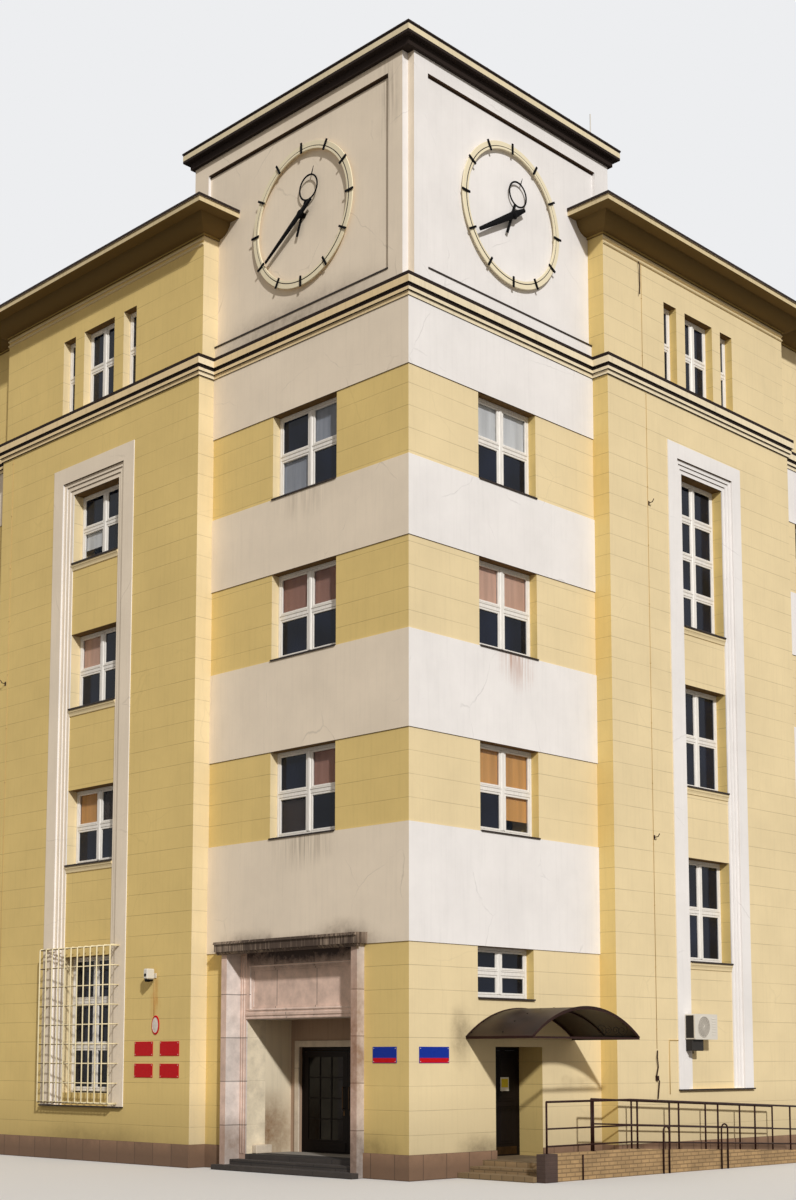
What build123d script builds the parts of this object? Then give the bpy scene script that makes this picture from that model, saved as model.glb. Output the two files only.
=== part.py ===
from build123d import *
import os

os.makedirs("parts", exist_ok=True)

# Corner office building, millimetres, +Z up.
# Origin: foot of the street corner of the tower. The right street front lies in y = 0 and
# runs along +X, the left street front lies in x = 0 and runs along +Y.

# Plan
tower_front_right = 5630
tower_front_left = 5810
bay_front_right = 7070
bay_front_left = 7580
bay_projection = 420
far_front_right = 6900
far_front_left = 6900
wing_depth = 10000
wall_t = 700
yard_wall_t = 450
party_wall_t = 300
slab_t = 250
far_axis_first = 1900
far_axis_pitch = 3100
yard_axis_last = 1900
yard_axis_pitch = 3600

# Heights of the fronts, from the ground up
plinth_h = 464
ground_wall_h = 3868
white_band_1_h = 2214
window_band_1_h = 1766
white_band_2_h = 1872
window_band_2_h = 1791
white_band_3_h = 1568
window_band_3_h = 1772
frieze_h = 1335
string_h = 430
attic_h = 2720
clock_wall_h = 4620
ground_floor_z = 300
floor_below_sill = 900

# Tower head
tower_head_right = 6280
tower_head_left = 6560
head_wall_t = 450
corner_notch = 160
panel_recess = 70
panel_near = 550
panel_far = 460
panel_foot = 320
panel_head = 310
cornice_bed = 80
cornice_bed_h = 150
cornice_out = 200
cornice_h = 200
cover_out = 15
cover_t = 30
rod_r = 12
rod_l = 900
rod_in_u = 200
rod_in_v = 300

# Small profiles
plinth_t = 30
plinth_joint = 2
band_t = 20
string_out = 120
string_step = 40
attic_setback = 80
eaves_out = 680
eaves_h = 470
eaves_soffit_h = 300
eaves_soffit_in = 390
eaves_fillet = 40
eaves_edge_h = 70
eaves_edge_out = 20

# Windows
reveal = 180
frame_t = 70
bar_w = 75
glass_t = 8
sill_t = 30
sill_out = 45
sill_over = 50
sill_fall = 12
far_w = 1850
far_ground_h = 2200
yard_w = 1500
attic_sill_h = 60
attic_window_h = 1860
attic_narrow = 480
attic_wide_right = 1080
attic_wide_left = 1180
attic_pitch_right = 1110
attic_pitch_left = 1180
left_window_w = 1900
left_window_u = 2930
right_window_w = 1750
right_window_u = 2850
low_window_w = 1650
low_window_h = 1000
low_window_u = 2700

# Strips of windows in the bays, each in a stepped frame round a sunk field
strip_right_w = 1600
strip_left_w = 1760
strip_band_right = 345
strip_band_left = 375
strip_steps_right = 275
strip_steps_left = 290
strip_step_d = 25
strip_steps = 3
strip_tuck = 40
strip_foot_right = 1550
strip_foot_left = 1180
strip_reveal = 240
strip_sill_out = 70
high_right = (1500, -155)
middle_right = (1560, 210)
low_right = (-60, 0)
high_left = (-40, -160)
middle_left = (-90, -130)
low_left = (-40, -80)
grille_window_z0 = 1450
grille_window_h = 3000

# Portal on the left front
portal_u = 3140
portal_out = 190
portal_jamb_w = 165
portal_open_w = 3620
portal_step_in = 190
portal_step_depth = 370
portal_beam_h = 340
portal_panel_h = 800
portal_panel_foot = 210
portal_panel_in = 150
portal_panel_d = 20
porch_depth = 1400
porch_wall_t = 300
porch_clear_h = 2680
hood_out = 310
hood_over = 100
hood_h = 150
main_door_w = 2700
main_door_h = 2130

# Side door on the right front
side_door_u = 3065
side_door_w = 1390
side_door_h = 2120
side_door_depth = 600
step_h = 100
tread = 350

# Doors and their lift-off hinges
frame_w = 65
frame_depth_in = 60
leaf_t = 50
leaf_gap = 6
leaf_foot_gap = 8
glass_in = 130
pane_sink = 18
knuckle_r = 11
knuckle_h = 150
knuckle_sides = 8
hinge_pin_r = 5
hinge_clear = 0.3
hinge_off = 12
hinge_side = 3
hinge_flap_w = 45
hinge_flap_t = 3

# Canopy over the side door
canopy_u = 3130
canopy_w = 3200
canopy_out = 1650
canopy_z = 2600
canopy_rise = 560
canopy_t = 12
canopy_bar = 40
canopy_rib_h = 30
canopy_rib_gap = 1
canopy_ribs = 3

# Landing, ramp, kerb wall and railings
landing_x0 = 1950
landing_x1 = 4050
ramp_w = 1850
ramp_end = 11400
kerb_t = 150
kerb_h = 200
pier_x = 1350
pier_w = 350
pier_t = 200
rail_r = 22
rail_h = 1120
rail_mid_h = 640
rail_low_h = 330
rail_end_in = 400
outer_posts = 8
inner_posts = 6
inner_rail_in = 640

# Iron basket grille, air-conditioning unit and camera
grille_w = 2680
grille_z0 = 1220
grille_z1 = 4640
grille_out = 260
grille_bar = 22
grille_uprights = 12
grille_rails = 3
ac_u = 8390
ac_w = 840
ac_h = 540
ac_d = 250
ac_z = 2600
ac_off = 30
ac_foot_w = 40
ac_foot_h = 60
ac_round = 25
camera_u = 7015
camera_w = 130
camera_h = 110
camera_l = 260
camera_z = 3860

# Clocks
clock_u = 3050
clock_z = 2300
ring_r = 1430
ring_w = 170
ring_sides = 60
ring_t = 30
ring_off = 60
mark_l = 230
mark_w = 45
mark_t = 20
bracket_w = 20
brackets = 6
hub_r = 95
boss_r = 57
boss_sides = 8
minute_l = 1270
minute_tail = 400
hour_l = 1000
hour_tail = 440
minute_w = 120
minute_tip_w = 55
hour_w = 64
hand_t = 12
hour_eye_u = 560
hour_eye_w = 36
hand_gap = 10
hour_eye_r = 280
pin_r = 16
pin_clear = 0.3
boss_t = 60
minute_angle = 237
hour_angle = 20

# Heights of the lines of the fronts
z_band_1 = plinth_h + ground_wall_h
z_sill_1 = z_band_1 + white_band_1_h
z_band_2 = z_sill_1 + window_band_1_h
z_sill_2 = z_band_2 + white_band_2_h
z_band_3 = z_sill_2 + window_band_2_h
z_sill_3 = z_band_3 + white_band_3_h
z_frieze = z_sill_3 + window_band_3_h
z_string = z_frieze + frieze_h
z_attic = z_string + string_h
z_eaves = z_attic + attic_h
z_roof = z_eaves + eaves_h
z_head = z_attic + clock_wall_h

x_bay = tower_front_right
x_far = x_bay + bay_front_right
x_end = x_far + far_front_right
y_bay = tower_front_left
y_far = y_bay + bay_front_left
y_end = y_far + far_front_left
yard_x = wing_depth - yard_wall_t
yard_y = wing_depth - yard_wall_t

right_front = Plane(origin=(0, 0, 0), x_dir=(1, 0, 0), z_dir=(0, -1, 0))
left_front = Plane(origin=(0, 0, 0), x_dir=(0, 1, 0), z_dir=(1, 0, 0))


def keep(part, label):
    part.label = label
    export_step(part, f"parts/{label}.step")


def front(side, out=0):
    """Plane of a street front, moved outward, and the sign of the inward direction."""
    if side == "right":
        return right_front.offset(out), -1
    return left_front.offset(-out), 1


def plate(side, out, thickness, boxes, holes=()):
    """Elevation boxes (u, z) on a front, extruded inward by a thickness."""
    plane, inward = front(side, out)
    with BuildPart() as piece:
        with BuildSketch(plane):
            for u0, u1, z0, z1 in boxes:
                with Locations(((u0 + u1) / 2, (z0 + z1) / 2)):
                    Rectangle(u1 - u0, z1 - z0)
            for u0, u1, z0, z1 in holes:
                with Locations(((u0 + u1) / 2, (z0 + z1) / 2)):
                    Rectangle(u1 - u0, z1 - z0, mode=Mode.SUBTRACT)
        extrude(amount=inward * thickness)
    return piece.part


def slab(outline, z0, z1):
    """Plan outline extruded from one height to another."""
    with BuildPart() as piece:
        with BuildSketch(Plane.XY.offset(z0)):
            with BuildLine():
                Polyline(*outline, close=True)
            make_face()
        extrude(amount=z1 - z0)
    return piece.part


def box(x0, x1, y0, y1, z0, z1):
    return slab([(x0, y0), (x1, y0), (x1, y1), (x0, y1)], z0, z1)


def long_slab(outline, y0, y1):
    """Side outline (x, z) extruded from one y to a greater one."""
    with BuildPart() as piece:
        with BuildSketch(Plane.XZ.offset(-y0)):
            with BuildLine():
                Polyline(*outline, close=True)
            make_face()
        extrude(amount=y0 - y1)
    return piece.part


def gathered(pieces):
    """Several pieces as one part; pieces that touch are fused."""
    with BuildPart() as whole:
        add(pieces)
    return whole.part


def around(u, w, z0, z1):
    return (u - w / 2, u + w / 2, z0, z1)


# Window openings of the fronts, as (u0, u1, z0, z1)
window_rows = [(z_sill_1, z_band_2), (z_sill_2, z_band_3), (z_sill_3, z_frieze)]
tower_left_windows = [around(left_window_u, left_window_w, a, b) for a, b in window_rows]
tower_right_windows = [around(right_window_u, right_window_w, a, b) for a, b in window_rows]
low_window = around(low_window_u, low_window_w, z_band_1 - low_window_h, z_band_1)

# Strip windows of the projecting bays, measured from the lines of the front
bay_right_u = x_bay + bay_front_right / 2
bay_left_u = y_bay + bay_front_left / 2
strip_right = [
    around(bay_right_u, strip_right_w, z_sill_2 + high_right[0], z_frieze + high_right[1]),
    around(bay_right_u, strip_right_w, z_sill_1 + middle_right[0], z_sill_2 + middle_right[1]),
    around(bay_right_u, strip_right_w, z_band_1 + low_right[0], z_sill_1 + low_right[1]),
]
strip_left = [
    around(bay_left_u, strip_left_w, z_sill_3 + high_left[0], z_frieze + high_left[1]),
    around(bay_left_u, strip_left_w, z_sill_2 + middle_left[0], z_band_3 + middle_left[1]),
    around(bay_left_u, strip_left_w, z_sill_1 + low_left[0], z_band_2 + low_left[1]),
]
grille_window = around(bay_left_u, strip_left_w, grille_window_z0, grille_window_z0 + grille_window_h)

# Small windows under the eaves: narrow, wide, narrow
attic_sill = z_attic + attic_sill_h
attic_head = attic_sill + attic_window_h


def attic_windows(centre, pitch, wide):
    return [around(centre + step * pitch, attic_narrow if step else wide, attic_sill, attic_head)
            for step in (-1, 0, 1)]


attic_right = attic_windows(bay_right_u, attic_pitch_right, attic_wide_right)
attic_left = attic_windows(bay_left_u, attic_pitch_left, attic_wide_left)

# Two window axes of the banded fronts beyond the bays, and two in each yard wall
far_right_us = [x_far + far_axis_first + i * far_axis_pitch for i in range(2)]
far_left_us = [y_far + far_axis_first + i * far_axis_pitch for i in range(2)]
far_rows = [(z_band_1 - far_ground_h, z_band_1)] + window_rows
far_right = [around(u, far_w, a, b) for u in far_right_us for a, b in far_rows]
far_right_attic = [around(u, attic_wide_right, attic_sill, attic_head) for u in far_right_us]
far_left = [around(u, far_w, a, b) for u in far_left_us for a, b in far_rows]
far_left_attic = [around(u, attic_wide_left, attic_sill, attic_head) for u in far_left_us]
yard_rows = far_rows + [(attic_sill, attic_head)]
yard_right_us = [x_end - party_wall_t - yard_axis_last - i * yard_axis_pitch for i in range(2)]
yard_left_us = [y_end - party_wall_t - yard_axis_last - i * yard_axis_pitch for i in range(2)]
yard_right = [around(u, yard_w, a, b) for u in yard_right_us for a, b in yard_rows]
yard_left = [around(u, yard_w, a, b) for u in yard_left_us for a, b in yard_rows]

# Street walls of the tower, split beside and over the doorways
side_hole = around(side_door_u, side_door_w, 0, ground_floor_z + side_door_h)
portal_outer_w = portal_open_w + 2 * portal_jamb_w
portal_hole = around(portal_u, portal_outer_w, 0, z_band_1)
right_piers = [(0, side_hole[0], 0, side_hole[3]), (side_hole[1], x_bay, 0, side_hole[3])]
left_piers = [(wall_t, portal_hole[0], 0, z_band_1), (portal_hole[1], y_bay, 0, z_band_1)]
keep(plate("right", 0, wall_t, right_piers), "tower_piers_right")
keep(plate("left", 0, wall_t, left_piers), "tower_piers_left")
keep(plate("right", 0, wall_t, [(0, x_bay, side_hole[3], z_attic)],
           tower_right_windows + [low_window]), "tower_wall_right")
keep(plate("left", 0, wall_t, [(wall_t, y_bay, z_band_1, z_attic)],
           tower_left_windows), "tower_wall_left")

# Projecting bays: each wall has a sunk niche that takes the stepped frame of its window strip
niche_d = (strip_steps + 1) * strip_step_d
top_right = strip_right[0][3] + strip_steps_right + strip_band_right
top_left = strip_left[0][3] + strip_steps_left + strip_band_left
niche_right = around(bay_right_u, strip_right_w + 2 * strip_steps_right + 2 * strip_tuck,
                     strip_foot_right, top_right - strip_band_right + strip_tuck)
niche_left = around(bay_left_u, strip_left_w + 2 * strip_steps_left + 2 * strip_tuck,
                    strip_foot_left, top_left - strip_band_left + strip_tuck)
left_bay_holes = strip_left + [grille_window]
keep(gathered([
    plate("right", bay_projection, niche_d, [(x_bay, x_far, 0, z_attic)], [niche_right]),
    plate("right", bay_projection - niche_d, wall_t - niche_d, [(x_bay, x_far, 0, z_attic)], strip_right),
    plate("left", bay_projection, niche_d, [(y_bay, y_far, 0, z_attic)], [niche_left]),
    plate("left", bay_projection - niche_d, wall_t - niche_d, [(y_bay, y_far, 0, z_attic)], left_bay_holes),
]), "bay_walls")


def strip_frame(side, centre, field_w, steps, band, foot, top):
    """Band and falling steps, swept up, over and down round the field, mitred at the corners."""
    outer = field_w / 2 + steps + band
    tread_w = steps / strip_steps
    if side == "right":
        start = Plane(origin=(centre - outer, -bay_projection, foot), x_dir=(1, 0, 0), z_dir=(0, 0, 1))
        turn = -1
    else:
        start = Plane(origin=(-bay_projection, centre - outer, foot), x_dir=(0, 1, 0), z_dir=(0, 0, 1))
        turn = 1
    outline = [(0, 0), (0, turn * band_t), (band, turn * band_t)]
    for i in range(strip_steps):
        level = -turn * (i + 1) * strip_step_d
        outline += [(band + i * tread_w, level), (band + (i + 1) * tread_w, level)]
    outline += [(band + steps, -turn * niche_d), (band - strip_tuck, -turn * niche_d), (band - strip_tuck, 0)]
    plane, inward = front(side, bay_projection)
    with BuildPart() as frame:
        with BuildLine(plane) as line:
            Polyline((centre - outer, foot), (centre - outer, top), (centre + outer, top),
                     (centre + outer, foot))
        with BuildSketch(start):
            with BuildLine():
                Polyline(*outline, close=True)
            make_face()
        sweep(path=line.line, transition=Transition.RIGHT)
    return frame.part


keep(gathered([
    strip_frame("right", bay_right_u, strip_right_w, strip_steps_right, strip_band_right,
                strip_foot_right, top_right),
    strip_frame("left", bay_left_u, strip_left_w, strip_steps_left, strip_band_left,
                strip_foot_left, top_left),
]), "strip_frames")

attic_out = bay_projection - attic_setback
attic_t = wall_t - attic_setback
keep(gathered([
    plate("right", attic_out, attic_t, [(x_bay, x_far, z_attic, z_eaves)], attic_right),
    plate("left", attic_out, attic_t, [(y_bay, y_far, z_attic, z_eaves)], attic_left),
]), "attic_walls")
bay_back = wall_t - bay_projection
keep(gathered(
    [box(u, u + wall_t, bay_back, wall_t, 0, z_eaves) for u in (x_bay, x_far - wall_t)]
    + [box(bay_back, wall_t, u, u + wall_t, 0, z_eaves) for u in (y_bay, y_far - wall_t)]
), "return_piers")

# Banded fronts beyond the bays, party walls and yard walls
keep(gathered([
    plate("right", 0, wall_t, [(x_far, x_end, 0, z_eaves)], far_right + far_right_attic),
    plate("left", 0, wall_t, [(y_far, y_end, 0, z_eaves)], far_left + far_left_attic),
]), "far_walls")
keep(gathered([
    box(x_end - party_wall_t, x_end, wall_t, yard_y, 0, z_eaves),
    box(wall_t, wing_depth, y_end - party_wall_t, y_end, 0, z_eaves),
]), "party_walls")
keep(plate("right", -yard_y, yard_wall_t, [(yard_x, x_end, 0, z_eaves)], yard_right), "yard_wall_right")
keep(plate("left", -yard_x, yard_wall_t, [(wing_depth, y_end - party_wall_t, 0, z_eaves)], yard_left),
     "yard_wall_left")

# Floors
floor_tops = [ground_floor_z, z_sill_1 - floor_below_sill, z_sill_2 - floor_below_sill,
              z_sill_3 - floor_below_sill, attic_sill - floor_below_sill]
floor_outline = [(wall_t, wall_t), (x_bay + wall_t, wall_t), (x_bay + wall_t, bay_back),
                 (x_far - wall_t, bay_back), (x_far - wall_t, wall_t), (x_end - party_wall_t, wall_t),
                 (x_end - party_wall_t, yard_y), (yard_x, yard_y), (yard_x, y_end - party_wall_t),
                 (wall_t, y_end - party_wall_t), (wall_t, y_far - wall_t), (bay_back, y_far - wall_t),
                 (bay_back, y_bay + wall_t), (wall_t, y_bay + wall_t)]
keep(gathered([slab(floor_outline, top - slab_t, top) for top in floor_tops]), "floors")

# Flat roofs of the wings and bays, bearing on the walls and carrying the inner walls of the tower head
head_x = tower_head_right - head_wall_t
head_y = tower_head_left - head_wall_t
right_roof = [(tower_head_right, 0), (x_end, 0), (x_end, wing_depth), (head_x, wing_depth),
              (head_x, head_wall_t), (tower_head_right, head_wall_t)]
left_roof = [(0, tower_head_left), (head_wall_t, tower_head_left), (head_wall_t, head_y), (head_x, head_y),
             (head_x, wing_depth), (wing_depth, wing_depth), (wing_depth, y_end), (0, y_end)]
keep(slab(right_roof, z_eaves, z_roof), "wing_roof_right")
keep(slab(left_roof, z_eaves, z_roof), "wing_roof_left")
keep(gathered([
    box(x_bay, x_far, -attic_out, 0, z_eaves, z_roof),
    box(-attic_out, 0, y_bay, y_far, z_eaves, z_roof),
]), "bay_roofs")

# Walls of the tower head: street faces with a notched corner and a sunk panel for each clock
panel_z0 = z_attic + panel_foot
panel_z1 = z_head - panel_head


def clock_wall(side, low, front_u, head_u):
    plane, inward = front(side)
    with BuildPart() as wall:
        with BuildSketch(plane):
            for u_high, z_low, z_high in ((front_u, z_attic, z_eaves), (head_u, z_eaves, z_head)):
                with Locations(((low + u_high) / 2, (z_low + z_high) / 2)):
                    Rectangle(u_high - low, z_high - z_low)
        extrude(amount=inward * head_wall_t)
        with BuildSketch(plane):
            with Locations(((panel_near + head_u - panel_far) / 2, (panel_z0 + panel_z1) / 2)):
                Rectangle(head_u - panel_far - panel_near, panel_z1 - panel_z0)
        extrude(amount=inward * panel_recess, mode=Mode.SUBTRACT)
        with BuildSketch(Plane.XY.offset(z_attic)):
            Rectangle(2 * corner_notch, 2 * corner_notch)
        extrude(amount=clock_wall_h, mode=Mode.SUBTRACT)
    return wall.part


keep(clock_wall("right", 0, x_bay, tower_head_right), "clock_wall_right")
keep(clock_wall("left", head_wall_t, y_bay, tower_head_left), "clock_wall_left")
keep(box(head_x, tower_head_right, head_wall_t, tower_head_left, z_roof, z_head), "tower_rear_wall_right")
keep(box(head_wall_t, head_x, head_y, tower_head_left, z_roof, z_head), "tower_rear_wall_left")

# Tower roof with its two-stepped cornice and metal cover
with BuildPart() as tower_roof:
    for out, t_low, t_high in ((cornice_bed, 0, cornice_bed_h),
                               (cornice_out, cornice_bed_h, cornice_bed_h + cornice_h),
                               (cornice_out + cover_out, cornice_bed_h + cornice_h,
                                cornice_bed_h + cornice_h + cover_t)):
        with BuildSketch(Plane.XY.offset(z_head + t_low)):
            with Locations((tower_head_right / 2, tower_head_left / 2)):
                Rectangle(tower_head_right + 2 * out, tower_head_left + 2 * out)
        extrude(amount=t_high - t_low)
keep(tower_roof.part, "tower_roof")

# String course and eaves, swept along the street line
street_line = [(0, y_end), (0, y_far), (-bay_projection, y_far), (-bay_projection, y_bay),
               (0, y_bay), (0, 0), (x_bay, 0), (x_bay, -bay_projection), (x_far, -bay_projection),
               (x_far, 0), (x_end, 0)]
with BuildPart() as string_course:
    with BuildLine() as string_path:
        Polyline(*street_line)
    with BuildSketch(Plane(origin=(0, y_end, z_string), x_dir=(-1, 0, 0), z_dir=(0, 1, 0))):
        with BuildLine():
            Polyline((0, 0), (string_step, 0), (string_step, string_h * 0.2),
                     (2 * string_step, string_h * 0.2), (2 * string_step, string_h * 0.5),
                     (string_out, string_h * 0.5), (string_out, string_h), (0, string_h), close=True)
        make_face()
    sweep(path=string_path.line, transition=Transition.RIGHT)
keep(string_course.part, "string_course")


def eaves(path, start):
    """Eaves: bed fillet, cavetto, flat soffit, fascia and metal edge, mitred at the corners."""
    edge_z = eaves_h - eaves_edge_h
    with BuildPart() as run:
        with BuildLine() as line:
            Polyline(*path)
        with BuildSketch(start):
            with BuildLine():
                Polyline((eaves_soffit_in, eaves_soffit_h), (eaves_out, eaves_soffit_h), (eaves_out, edge_z),
                         (eaves_out + eaves_edge_out, edge_z), (eaves_out + eaves_edge_out, eaves_h),
                         (0, eaves_h), (0, 0), (eaves_fillet, 0), (eaves_fillet, eaves_fillet))
                RadiusArc((eaves_fillet, eaves_fillet), (eaves_soffit_in, eaves_soffit_h),
                          -(eaves_soffit_in - eaves_fillet))
            make_face()
        sweep(path=line.line, transition=Transition.RIGHT)
    return run.part


right_eaves_path = [(x_bay, panel_recess), (x_bay, -attic_out), (x_far, -attic_out), (x_far, 0),
                    (x_end, 0)]
left_eaves_path = [(panel_recess, y_bay), (-attic_out, y_bay), (-attic_out, y_far), (0, y_far),
                   (0, y_end)]
right_start = Plane(origin=(x_bay, panel_recess, z_eaves), x_dir=(-1, 0, 0), z_dir=(0, 1, 0))
left_start = Plane(origin=(panel_recess, y_bay, z_eaves), x_dir=(0, -1, 0), z_dir=(-1, 0, 0))
keep(gathered([eaves(right_eaves_path, right_start), eaves(left_eaves_path, left_start)]), "eaves")

# White render bands, standing proud of the yellow walls
band_rows = [(z_band_1, z_sill_1), (z_band_2, z_sill_2), (z_band_3, z_sill_3), (z_frieze, z_string)]
corner_band = [(-band_t, y_bay), (-band_t, -band_t), (x_bay, -band_t), (x_bay, 0), (0, 0), (0, y_bay)]
keep(gathered(
    [slab(corner_band, a, b) for a, b in band_rows]
    + [box(x_far, x_end, -band_t, 0, a, b) for a, b in band_rows]
    + [box(-band_t, 0, y_far, y_end, a, b) for a, b in band_rows]
), "white_bands")


# Windows: frames with crossed bars, glass behind them, metal sills
def sashes(side, out, windows, columns, rows):
    """One frame for each opening, its panes cut out between the bars."""
    plane, inward = front(side, out)
    frames = []
    for u_low, u_high, z_low, z_high in windows:
        pane_w = (u_high - u_low - (columns + 1) * bar_w) / columns
        pane_h = (z_high - z_low - (rows + 1) * bar_w) / rows
        with BuildPart() as frame:
            with BuildSketch(plane):
                with Locations(((u_low + u_high) / 2, (z_low + z_high) / 2)):
                    Rectangle(u_high - u_low, z_high - z_low)
                    with GridLocations(pane_w + bar_w, pane_h + bar_w, columns, rows):
                        Rectangle(pane_w, pane_h, mode=Mode.SUBTRACT)
            extrude(amount=inward * frame_t)
        frames.append(frame.part)
    return frames


def panes(side, out, windows):
    return [plate(side, out - frame_t, glass_t, [window]) for window in windows]


def sills(side, out, depth, windows):
    """Sloping sills with a nose, from the frame to a little beyond the wall."""
    plane, inward = front(side)
    pieces = []
    for u_low, u_high, z_low, z_high in windows:
        nose_z = z_low - sill_fall
        profile = [(out - depth, z_low), (out - depth, z_low + sill_t), (out + sill_out, nose_z + sill_t),
                   (out + sill_out, nose_z), (out + band_t, nose_z), (out + band_t, z_low)]
        if side == "right":
            edge = Plane(origin=(u_low, 0, 0), x_dir=(0, -1, 0), z_dir=(-1, 0, 0))
            run = u_low - u_high
        else:
            edge = Plane(origin=(0, u_low, 0), x_dir=(-1, 0, 0), z_dir=(0, 1, 0))
            run = u_high - u_low
        with BuildPart() as sill:
            with BuildSketch(edge):
                with BuildLine():
                    Polyline(*profile, close=True)
                make_face()
            extrude(amount=run)
        pieces.append(sill.part)
    return pieces


field_out = bay_projection - niche_d
keep(gathered(
    sashes("right", -reveal, tower_right_windows + [low_window], 2, 2)
    + sashes("left", -reveal, tower_left_windows, 2, 2)
    + sashes("right", -reveal, far_right + far_right_attic, 1, 1)
    + sashes("left", -reveal, far_left + far_left_attic, 1, 1)
    + sashes("right", field_out - strip_reveal, strip_right, 2, 2)
    + sashes("left", field_out - strip_reveal, strip_left, 2, 2)
    + sashes("left", field_out - strip_reveal, [grille_window], 2, 3)
    + sashes("right", attic_out - reveal, [attic_right[0], attic_right[2]], 1, 1)
    + sashes("right", attic_out - reveal, [attic_right[1]], 2, 2)
    + sashes("left", attic_out - reveal, [attic_left[0], attic_left[2]], 1, 1)
    + sashes("left", attic_out - reveal, [attic_left[1]], 2, 2)
), "window_frames_street")
yard_out = reveal + frame_t - wing_depth
keep(gathered(sashes("right", yard_out, yard_right, 1, 1) + sashes("left", yard_out, yard_left, 1, 1)),
     "window_frames_yard")

keep(gathered(
    panes("right", -reveal, tower_right_windows + [low_window] + far_right + far_right_attic)
    + panes("left", -reveal, tower_left_windows + far_left + far_left_attic)
    + panes("right", field_out - strip_reveal, strip_right)
    + panes("left", field_out - strip_reveal, left_bay_holes)
    + panes("right", attic_out - reveal, attic_right)
    + panes("left", attic_out - reveal, attic_left)
    + panes("right", yard_out + frame_t + glass_t, yard_right)
    + panes("left", yard_out + frame_t + glass_t, yard_left)
), "window_glass")

keep(gathered(
    sills("right", 0, reveal, tower_right_windows + [low_window] + far_right)
    + sills("left", 0, reveal, tower_left_windows + far_left)
    + sills("right", field_out, strip_reveal, strip_right)
    + sills("left", field_out, strip_reveal, strip_left)
), "window_sills")


# Sills under the feet of the two window strips
def strip_sill(side, centre, field_w, steps, band, foot):
    return plate(side, bay_projection + strip_sill_out, strip_sill_out,
                 [around(centre, field_w + 2 * steps + 2 * band, foot - sill_t, foot)])


keep(gathered([
    strip_sill("right", bay_right_u, strip_right_w, strip_steps_right, strip_band_right, strip_foot_right),
    strip_sill("left", bay_left_u, strip_left_w, strip_steps_left, strip_band_left, strip_foot_left),
]), "strip_sills")


# Plinth cladding in straight runs with open joints at the corners
def plinth_runs(side, out, spans):
    return plate(side, out + plinth_t, plinth_t, [(a, b, 0, plinth_h) for a, b in spans])


plinth_gap = plinth_joint + plinth_t
leg = bay_projection - plinth_joint
keep(gathered(
    [plinth_runs("right", 0, [(-plinth_t, side_hole[0]), (side_hole[1], x_bay - plinth_gap),
                              (x_far + plinth_gap, x_end)]),
     plinth_runs("right", bay_projection, [(x_bay - plinth_t, x_far + plinth_t)]),
     plinth_runs("left", 0, [(plinth_joint, portal_hole[0]), (portal_hole[1], y_bay - plinth_gap),
                             (y_far + plinth_gap, y_end)]),
     plinth_runs("left", bay_projection, [(y_bay - plinth_t, y_far + plinth_t)])]
    + [box(x, x + plinth_t, -leg, 0, 0, plinth_h) for x in (x_bay - plinth_t, x_far)]
    + [box(-leg, 0, y, y + plinth_t, 0, plinth_h) for y in (y_bay - plinth_t, y_far)]
), "plinth")

# Portal: stepped stone jambs, beam with a sunk name panel, hood, porch and steps
half_open = portal_open_w / 2
step_x = portal_step_depth - portal_out
y_in_low = portal_u - half_open + portal_step_in
y_in_high = portal_u + half_open - portal_step_in


def jamb(sign, inner):
    near = portal_u + sign * half_open
    far = portal_u + sign * (half_open + portal_jamb_w)
    return slab([(-portal_out, near), (-portal_out, far), (wall_t, far), (wall_t, inner),
                 (step_x, inner), (step_x, near)], 0, z_band_1)


keep(gathered([jamb(-1, y_in_low), jamb(1, y_in_high)]), "portal_jambs")

beam_z = ground_floor_z + porch_clear_h
panel_z = beam_z + portal_panel_foot
with BuildPart() as portal_beam:
    with BuildSketch(left_front.offset(step_x)):
        with Locations(((y_in_low + y_in_high) / 2, (beam_z + z_band_1) / 2)):
            Rectangle(y_in_high - y_in_low, z_band_1 - beam_z)
    extrude(amount=wall_t - step_x)
    for inset in (0, portal_panel_d):
        with BuildSketch(left_front.offset(step_x)):
            with Locations(((y_in_low + y_in_high) / 2, panel_z + portal_panel_h / 2)):
                Rectangle(y_in_high - y_in_low - 2 * portal_panel_in - 4 * inset,
                          portal_panel_h - 4 * inset)
        extrude(amount=portal_panel_d + inset, mode=Mode.SUBTRACT)
keep(portal_beam.part, "portal_beam")

keep(box(-hood_out, -band_t, portal_hole[0] - hood_over, portal_hole[1] + hood_over, z_band_1,
         z_band_1 + hood_h), "portal_hood")

back_x0 = porch_depth
back_x1 = porch_depth + porch_wall_t
door_low = portal_u - main_door_w / 2
door_high = portal_u + main_door_w / 2
door_top = ground_floor_z + main_door_h
keep(gathered([
    box(wall_t, back_x1, y_in_low - porch_wall_t, y_in_low, ground_floor_z, beam_z),
    box(wall_t, back_x1, y_in_high, y_in_high + porch_wall_t, ground_floor_z, beam_z),
]), "porch_side_walls")
keep(gathered([
    box(back_x0, back_x1, y_in_low, door_low, ground_floor_z, door_top),
    box(back_x0, back_x1, door_high, y_in_high, ground_floor_z, door_top),
]), "porch_back_piers")
keep(box(back_x0, back_x1, y_in_low, y_in_high, door_top, beam_z), "porch_back_lintel")
keep(box(wall_t, back_x1, y_in_low - porch_wall_t, y_in_high + porch_wall_t, beam_z,
         beam_z + porch_wall_t), "porch_ceiling")

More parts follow.
